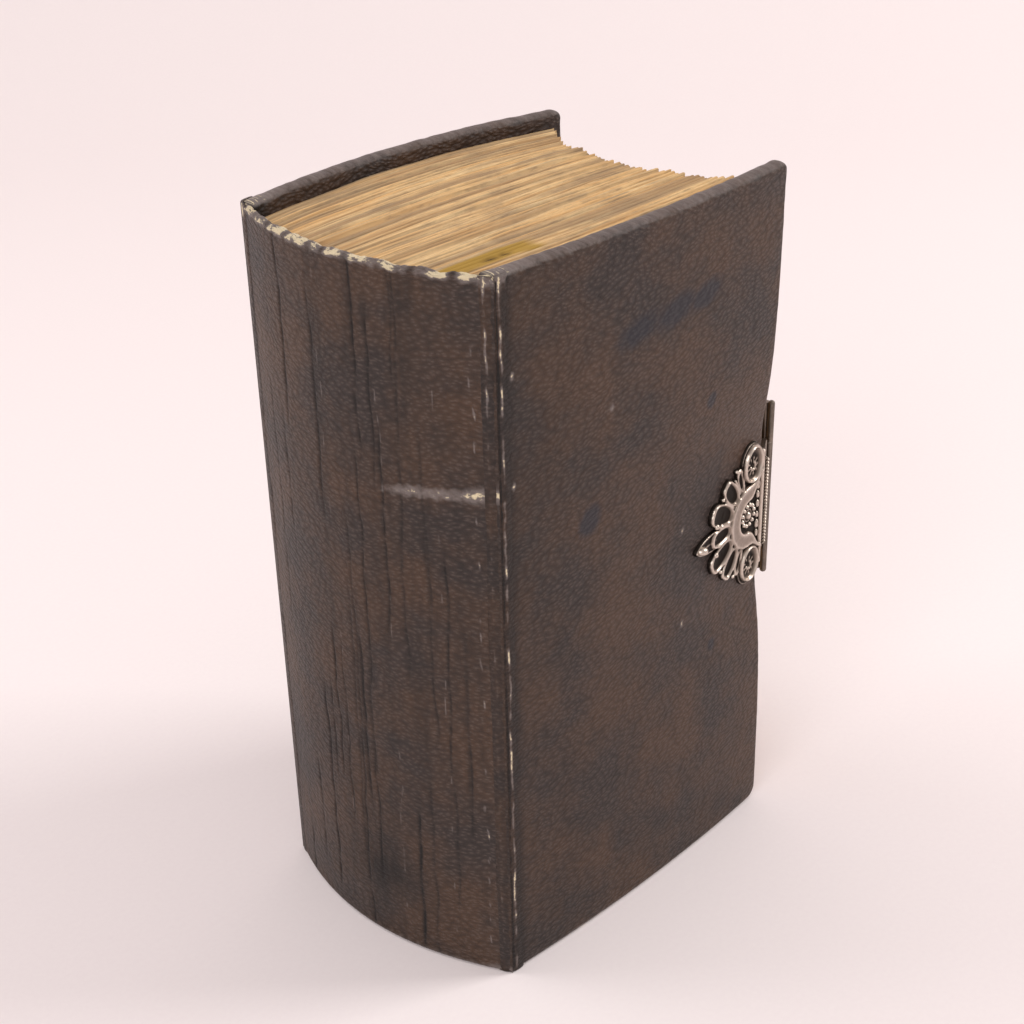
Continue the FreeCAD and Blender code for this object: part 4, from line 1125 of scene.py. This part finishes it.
def close_rim(obj):
    """Drop the loose points of a relief and join its front to its back along the rim."""
    mesh = bmesh.new()
    mesh.from_mesh(obj.data)
    half = len(mesh.verts) // 2
    mesh.verts.ensure_lookup_table()
    for edge in [e for e in mesh.edges if len(e.link_faces) == 1 and e.verts[0].index < half]:
        a, b = edge.verts
        if max(a.index, b.index) < half:
            mesh.faces.new([a, b, mesh.verts[b.index + half], mesh.verts[a.index + half]])
    loose = [v for v in mesh.verts if not v.link_faces]
    bmesh.ops.delete(mesh, geom=loose, context="VERTS")
    bmesh.ops.recalc_face_normals(mesh, faces=mesh.faces)
    for face in mesh.faces:
        face.smooth = True
    mesh.to_mesh(obj.data)
    mesh.free()


def turned(name, profile, place, body, material, segments=40):
    """A turned piece from a closed profile of radius and height, round an upright axis."""
    turns = np.linspace(0.0, 2.0 * math.pi, segments, endpoint=False)
    radius = np.array([r for r, _ in profile])
    height = np.array([h for _, h in profile])
    points = np.stack([np.outer(np.cos(turns), radius) + place[0],
                       np.outer(np.sin(turns), radius) + place[1],
                       np.outer(np.ones(segments), height) + place[2]], axis=-1)
    count = len(profile)
    faces = []
    for i in range(segments):
        for j in range(count):
            k = (j + 1) % count
            n = (i + 1) % segments
            faces.append([i * count + j, n * count + j, n * count + k, i * count + k])
    marks = np.tile((0.35, 0.0, 0.3), (segments * count, 1))
    obj = mesh_piece(name, points.reshape(-1, 3), faces, material, body, None, marks)
    weld(obj, 0.0001)
    return obj


def hinge_axis():
    """The strap's hinge axis in mm at clasp height."""
    return np.array(JOINTS["clasp_hinge"]["pos_m"]) / MM


def anchor_knuckles():
    """The anchor's outer knuckles, rolled from its sheet round the pin."""
    metal = bpy.data.materials["silver_cast_tarnished"]
    made = []
    for index in range(0, KNUCKLE_COUNT, 2):
        pitch = KNUCKLE_LENGTH + KNUCKLE_GAP
        low = (index - KNUCKLE_COUNT / 2.0) * pitch + KNUCKLE_GAP / 2.0
        high = low + KNUCKLE_LENGTH
        wide, bevelled = KNUCKLE_RADIUS, KNUCKLE_RADIUS - KNUCKLE_BEVEL
        profile = [(PIN_BORE, low), (bevelled, low), (wide, low + KNUCKLE_BEVEL),
                   (wide, high - KNUCKLE_BEVEL), (bevelled, high), (PIN_BORE, high)]
        made.append(turned("anchor_knuckle_%d" % index, profile, hinge_axis(), "back_cover",
                           metal))
        x, z = np.meshgrid(np.linspace(RIDGE_X, HINGE_REACH, 12), [low, high], indexing="ij")
        top = np.stack([x, np.full_like(x, -LEAF_THICKNESS), z], axis=-1).reshape(-1, 3)
        foot = np.stack([x, np.full_like(x, -0.02), z], axis=-1).reshape(-1, 3)
        points = np.concatenate([top, foot])
        rows = len(x)
        faces = [list(f) for f in grid_faces(rows, 2)]
        faces += [list(f) for f in grid_faces(rows, 2, 2 * rows, flip=True)]
        edge = [i * 2 for i in range(rows)]
        faces.append(edge + [i + 2 * rows for i in edge[::-1]])
        edge = [i * 2 + 1 for i in range(rows)]
        faces.append(edge[::-1] + [i + 2 * rows for i in edge])
        faces += [[0, 1, 2 * rows + 1, 2 * rows],
                  [2 * rows - 2, 4 * rows - 2, 4 * rows - 1, 2 * rows - 1]]
        leaf = mesh_piece("anchor_leaf_%d" % index, on_plate(BACK, points), faces, metal,
                          "back_cover", None, np.full((4 * rows, 3), 0.45))
        weld(leaf, 0.0001)
        leaf.data.polygons.foreach_set("use_smooth", [False] * len(leaf.data.polygons))
        made.append(leaf)
    return made


def twisted_wire():
    """Two drawn wires twisted together and laid along the catch's lip."""
    low, high = (np.array(corner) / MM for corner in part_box("catch_twisted_wire"))
    centre = (low + high) / 2.0 + (-0.25, -0.1, 0.0)
    radius = (high[0] - low[0]) / 2.0 + 0.1
    strand = radius * 0.52
    orbit = radius - strand
    length = high[2] - low[2]
    rings = int(length / 0.09)
    sides = 8
    points = []
    faces = []
    for number in range(2):
        for ring in range(rings):
            z = low[2] + length * ring / (rings - 1.0)
            phase = math.pi * number + 2.0 * math.pi * (z - low[2]) / TWIST_PITCH
            middle = (centre[0] + orbit * math.cos(phase), centre[1] + orbit * math.sin(phase))
            for side in range(sides):
                turn = 2.0 * math.pi * side / sides
                points.append((middle[0] + strand * math.cos(turn),
                               middle[1] + strand * math.sin(turn), z))
        faces += ring_faces(rings, sides, number * rings * sides)
    marks = np.tile((0.6, 0.0, 0.15), (len(points), 1))
    obj = mesh_piece("twisted_wire", points, faces, bpy.data.materials["silver_cast_tarnished"],
                     "front_cover", None, marks)
    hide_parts("catch_twisted_wire")
    return obj


def domed_rod(name, reach, drop, radius, half_height, body):
    """A rod with domed ends, upright in the front plate's frame."""
    middle = on_plate(FRONT, [(reach, drop, 0.0)])[0]
    turns = np.linspace(0.0, math.pi / 2.0, 7)
    top = [(radius * math.cos(t), half_height + 0.9 * radius * math.sin(t)) for t in turns]
    profile = top + [(r, -h) for r, h in top[::-1]]
    return turned(name, profile, middle, body,
                  bpy.data.materials["silver_cast_tarnished"])


def dome(x, z, radius_x, radius_z, foot, top, rings=8, sides=24):
    """Points and faces of a domed nail head in the plate's frame."""
    points = []
    for ring in range(rings):
        turn = math.pi / 2.0 * ring / (rings - 1.0)
        shrink = math.cos(turn) if ring < rings - 1 else 0.02
        level = foot + (top - foot) * math.sin(turn)
        for side in range(sides):
            round_turn = 2.0 * math.pi * side / sides
            points.append((x + radius_x * shrink * math.cos(round_turn), -level,
                           z + radius_z * shrink * math.sin(round_turn)))
    return points, ring_faces(rings, sides)


# Each nail head: place, radius both ways, foot and top
NAILS = ((-19.7, 3.3, 0.62, 0.62, 0.9, 1.55), (-19.7, -3.3, 0.62, 0.62, 0.9, 1.55),
         (-24.7, 0.0, 1.35, 0.95, 0.4, 1.9))


def nail_heads(side):
    """Two small domed nail heads and the oval ball at the tip."""
    points = []
    faces = []
    for head in NAILS:
        more, rings = dome(*head)
        faces += [[i + len(points) for i in face] for face in rings]
        points += more
    name, body = plate_name(side), side_name(side) + "_cover"
    marks = np.tile((0.8, 0.0, 0.1), (len(points), 1))
    obj = mesh_piece(name + "_nail_heads", on_plate(side, points), faces,
                     bpy.data.materials["silver_cast_tarnished"], body, None, marks)
    weld(obj, 0.0001)
    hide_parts(name + "_nails")
    return obj


def make_materials():
    """Every finish of the book."""
    tanned_calf_pebbled()
    rag_paper_cut()
    silver_cast()
    silver_rolled()
    fibrous("pasteboard_pressed", "#8d8069", "#6a5e4c", 0.4, 0.95)
    fibrous("rag_paper_pasted", "#cbb892", "#a8906a", 0.25, 0.9)
    fibrous("linen_tape_woven", "#b7a582", "#8a7757", 0.3, 0.95)
    fibrous("lining_paper_glued", "#8f7650", "#5e4a30", 0.5, 0.8)


class CLASPEDBOOK_OT_materials(bpy.types.Operator):
    """Make the finishes of hide, paper, silver and board."""

    bl_idname = "clasped_book.materials"
    bl_label = "Finishes"

    def execute(self, context):
        make_materials()
        return {"FINISHED"}


class CLASPEDBOOK_OT_covers(bpy.types.Operator):
    """Cover both boards with worn, turned-in leather."""

    bl_idname = "clasped_book.covers"
    bl_label = "Cover leather"

    def execute(self, context):
        cover_leather(FRONT)
        cover_leather(BACK)
        return {"FINISHED"}


class CLASPEDBOOK_OT_spine(bpy.types.Operator):
    """Lay cracked leather over the spine."""

    bl_idname = "clasped_book.spine"
    bl_label = "Spine leather"

    def execute(self, context):
        spine_leather()
        return {"FINISHED"}


class CLASPEDBOOK_OT_joints(bpy.types.Operator):
    """Bend leather round both joints."""

    bl_idname = "clasped_book.joints"
    bl_label = "Joint leather"

    def execute(self, context):
        joint_strip(FRONT)
        joint_strip(BACK)
        return {"FINISHED"}


class CLASPEDBOOK_OT_leaves(bpy.types.Operator):
    """Stack the soiled leaves."""

    bl_idname = "clasped_book.leaves"
    bl_label = "Leaves"

    def execute(self, context):
        text_leaves()
        flyleaf(FRONT)
        flyleaf(BACK)
        return {"FINISHED"}


class CLASPEDBOOK_OT_inner(bpy.types.Operator):
    """Finish the boards, tapes, lining and pasted leaves inside."""

    bl_idname = "clasped_book.inner"
    bl_label = "Boards, tapes and pasted leaves"

    def execute(self, context):
        finishes = {"front_board": "pasteboard_pressed", "back_board": "pasteboard_pressed",
                    "front_pastedown": "rag_paper_pasted", "back_pastedown": "rag_paper_pasted",
                    "sewing_tapes": "linen_tape_woven", "spine_lining": "lining_paper_glued"}
        for node, name in finishes.items():
            tidy_cad(node, bpy.data.materials[name])
        return {"FINISHED"}


class CLASPEDBOOK_OT_plates(bpy.types.Operator):
    """Cast the two shell plates and drive their nails."""

    bl_idname = "clasped_book.plates"
    bl_label = "Shell plates and nails"

    def execute(self, context):
        for side in (FRONT, BACK):
            shell_plate(side)
            nail_heads(side)
        anchor_knuckles()
        return {"FINISHED"}


class CLASPEDBOOK_OT_strap(bpy.types.Operator):
    """Finish the catch's lip, its twisted wire, the strap and its pin."""

    bl_idname = "clasped_book.strap"
    bl_label = "Lip, wire, strap and pin"

    def execute(self, context):
        twisted_wire()
        domed_rod("strap_roll", ROLL_REACH, ROLL_DROP, ROLL_RADIUS, STRAP_HALF_HEIGHT, "clasp")
        domed_rod("lip_bead", BEAD_REACH, BEAD_DROP, BEAD_RADIUS, BEAD_HALF_HEIGHT,
                  "front_cover")
        for node in ("catch_lip", "clasp_strap", "hinge_pin"):
            tidy_cad(node, bpy.data.materials["silver_rolled_tarnished"])
        return {"FINISHED"}


def look_from(azimuth, elevation, roll):
    """Camera rotation from a compass direction, a height and a roll, in degrees."""
    turn, rise = math.radians(azimuth), math.radians(elevation)
    back = Vector((math.sin(turn) * math.cos(rise), -math.cos(turn) * math.cos(rise),
                   math.sin(rise)))
    right = Vector((math.cos(turn), math.sin(turn), 0.0))
    up = back.cross(right)
    spin = math.radians(roll)
    level = right * math.cos(spin) + up * math.sin(spin)
    plumb = up * math.cos(spin) - right * math.sin(spin)
    return Matrix((level, plumb, back)).transposed()


# Sweep of paper behind the book, in mm: where it starts to curve, its radius and its borders
SWEEP_START = 500.0
SWEEP_RADIUS = 500.0
SWEEP_NEAR = -900.0
SWEEP_FAR = 1500.0
SWEEP_HALF_WIDTH = 1600.0
SWEEP_TURN = -44.0


def backdrop():
    """A seamless sweep of matt paper that curves up behind the book."""
    material, tree, shader = new_material("studio_paper_matt")
    place = add_node(tree, "TexCoord").outputs["Object"]
    colour = tint(tree, rgba(linear("#efe6e6")), linear("#f3ebea"), clouds(tree, place, 900.0))
    finish(tree, shader, Base_Color=colour, Roughness=0.95, Specular_IOR_Level=0.1)
    distance = np.linspace(SWEEP_NEAR, SWEEP_FAR, 60)
    past = np.clip(distance - SWEEP_START, 0.0, SWEEP_RADIUS - 0.1)
    height = SWEEP_RADIUS - np.sqrt(SWEEP_RADIUS ** 2 - past ** 2)
    height = height + np.clip(distance - SWEEP_START - SWEEP_RADIUS, 0.0, None) * 2.0
    reach = np.minimum(distance, SWEEP_START + SWEEP_RADIUS)
    across = np.linspace(-SWEEP_HALF_WIDTH, SWEEP_HALF_WIDTH, 9)
    far, wide = np.meshgrid(reach, across, indexing="ij")
    up = np.broadcast_to(height[:, None], far.shape)
    turn = math.radians(SWEEP_TURN)
    x = -far * math.sin(turn) + wide * math.cos(turn)
    y = far * math.cos(turn) + wide * math.sin(turn)
    points = np.stack([x, y, up - 0.02], axis=-1)
    obj = mesh_piece("studio_sweep", points.reshape(-1, 3), grid_faces(60, 9), material, None)
    return obj


def soft_light(name, place, target, size, power, colour):
    """A square soft light that faces a target, in metres and watts."""
    data = bpy.data.lights.new(name, "AREA")
    data.size = size
    data.energy = power
    data.color = colour
    lamp = bpy.data.objects.new(name, data)
    lamp.location = place
    lamp.rotation_euler = (Vector(target) - Vector(place)).to_track_quat("-Z", "Y").to_euler()
    bpy.context.scene.collection.objects.link(lamp)
    return lamp


CAMERA_AZIMUTH = -44.17
CAMERA_ELEVATION = 28.58
CAMERA_ROLL = -1.4
CAMERA_PLACE = (-0.2274, -0.2306, 0.2551)
CAMERA_LENS = 62.92
# Each light: name, place, target and size in metres, power in watts, and colour
LIGHTS = (("key_light", (0.8, -0.55, 0.85), (0.0, 0.0, 0.08), 0.4, 7.0, (1.0, 0.98, 0.96)),
          ("fill_light", (-0.85, -0.35, 0.6), (0.0, 0.0, 0.07), 0.6, 3.6, (0.97, 0.98, 1.0)),
          ("rim_light", (-0.4, 0.6, 0.8), (0.0, 0.0, 0.08), 0.5, 2.4, (1.0, 0.98, 0.97)))
SKY_COLOUR = "#fdf3f2"
SKY_STRENGTH = 0.63


def studio():
    """Sweep, lights, sky and the camera at the photograph's viewing angle."""
    backdrop()
    for light in LIGHTS:
        soft_light(*light)
    world = bpy.data.worlds.new("studio_air")
    world.use_nodes = True
    sky = world.node_tree.nodes["Background"]
    sky.inputs[0].default_value = rgba(linear(SKY_COLOUR))
    sky.inputs[1].default_value = SKY_STRENGTH
    bpy.context.scene.world = world
    bpy.context.scene.view_settings.view_transform = "Standard"
    data = bpy.data.cameras.new("photo_camera")
    data.sensor_width = 36.0
    data.lens = CAMERA_LENS
    data.clip_start = 0.01
    camera = bpy.data.objects.new("photo_camera", data)
    turn = look_from(CAMERA_AZIMUTH, CAMERA_ELEVATION, CAMERA_ROLL)
    camera.matrix_world = Matrix.Translation(CAMERA_PLACE) @ turn.to_4x4()
    bpy.context.scene.collection.objects.link(camera)
    bpy.context.scene.camera = camera


class CLASPEDBOOK_OT_stage(bpy.types.Operator):
    """Set the pale sweep, the soft lights and the camera."""

    bl_idname = "clasped_book.stage"
    bl_label = "Stage and camera"

    def execute(self, context):
        studio()
        return {"FINISHED"}


class CLASPEDBOOK_PT_panel(bpy.types.Panel):
    """Panel that lists the book's pieces."""

    bl_idname = "CLASPEDBOOK_PT_panel"
    bl_label = "Clasped book"
    bl_space_type = "VIEW_3D"
    bl_region_type = "UI"
    bl_category = "Clasped book"

    def draw(self, context):
        column = self.layout.column()
        for operator in OPERATORS:
            column.operator(operator.bl_idname)
        for group in settings():
            for name in group.bl_rna.properties.keys():
                if name not in ("rna_type", "name"):
                    column.prop(group, name)


OPERATORS = (CLASPEDBOOK_OT_materials, CLASPEDBOOK_OT_covers, CLASPEDBOOK_OT_spine,
             CLASPEDBOOK_OT_joints, CLASPEDBOOK_OT_leaves, CLASPEDBOOK_OT_inner,
             CLASPEDBOOK_OT_plates, CLASPEDBOOK_OT_strap, CLASPEDBOOK_OT_stage)
GROUPS = {"clasped_book_leather": ClaspedBookLeather, "clasped_book_leaves": ClaspedBookLeaves,
          "clasped_book_silver": ClaspedBookSilver}


def register():
    """Register the settings, operators and panel."""
    for name, group in GROUPS.items():
        bpy.utils.register_class(group)
        setattr(bpy.types.Scene, name, PointerProperty(type=group))
    for operator in OPERATORS:
        bpy.utils.register_class(operator)
    bpy.utils.register_class(CLASPEDBOOK_PT_panel)


def unregister():
    """Take the panel, operators and settings away again."""
    bpy.utils.unregister_class(CLASPEDBOOK_PT_panel)
    for operator in reversed(OPERATORS):
        bpy.utils.unregister_class(operator)
    for name, group in GROUPS.items():
        delattr(bpy.types.Scene, name)
        bpy.utils.unregister_class(group)


def main():
    """Build every piece in order."""
    register()
    bpy.ops.clasped_book.materials()
    bpy.ops.clasped_book.covers()
    bpy.ops.clasped_book.spine()
    bpy.ops.clasped_book.joints()
    bpy.ops.clasped_book.leaves()
    bpy.ops.clasped_book.inner()
    bpy.ops.clasped_book.plates()
    bpy.ops.clasped_book.strap()
    bpy.ops.clasped_book.stage()


if __name__ == "__main__":
    main()
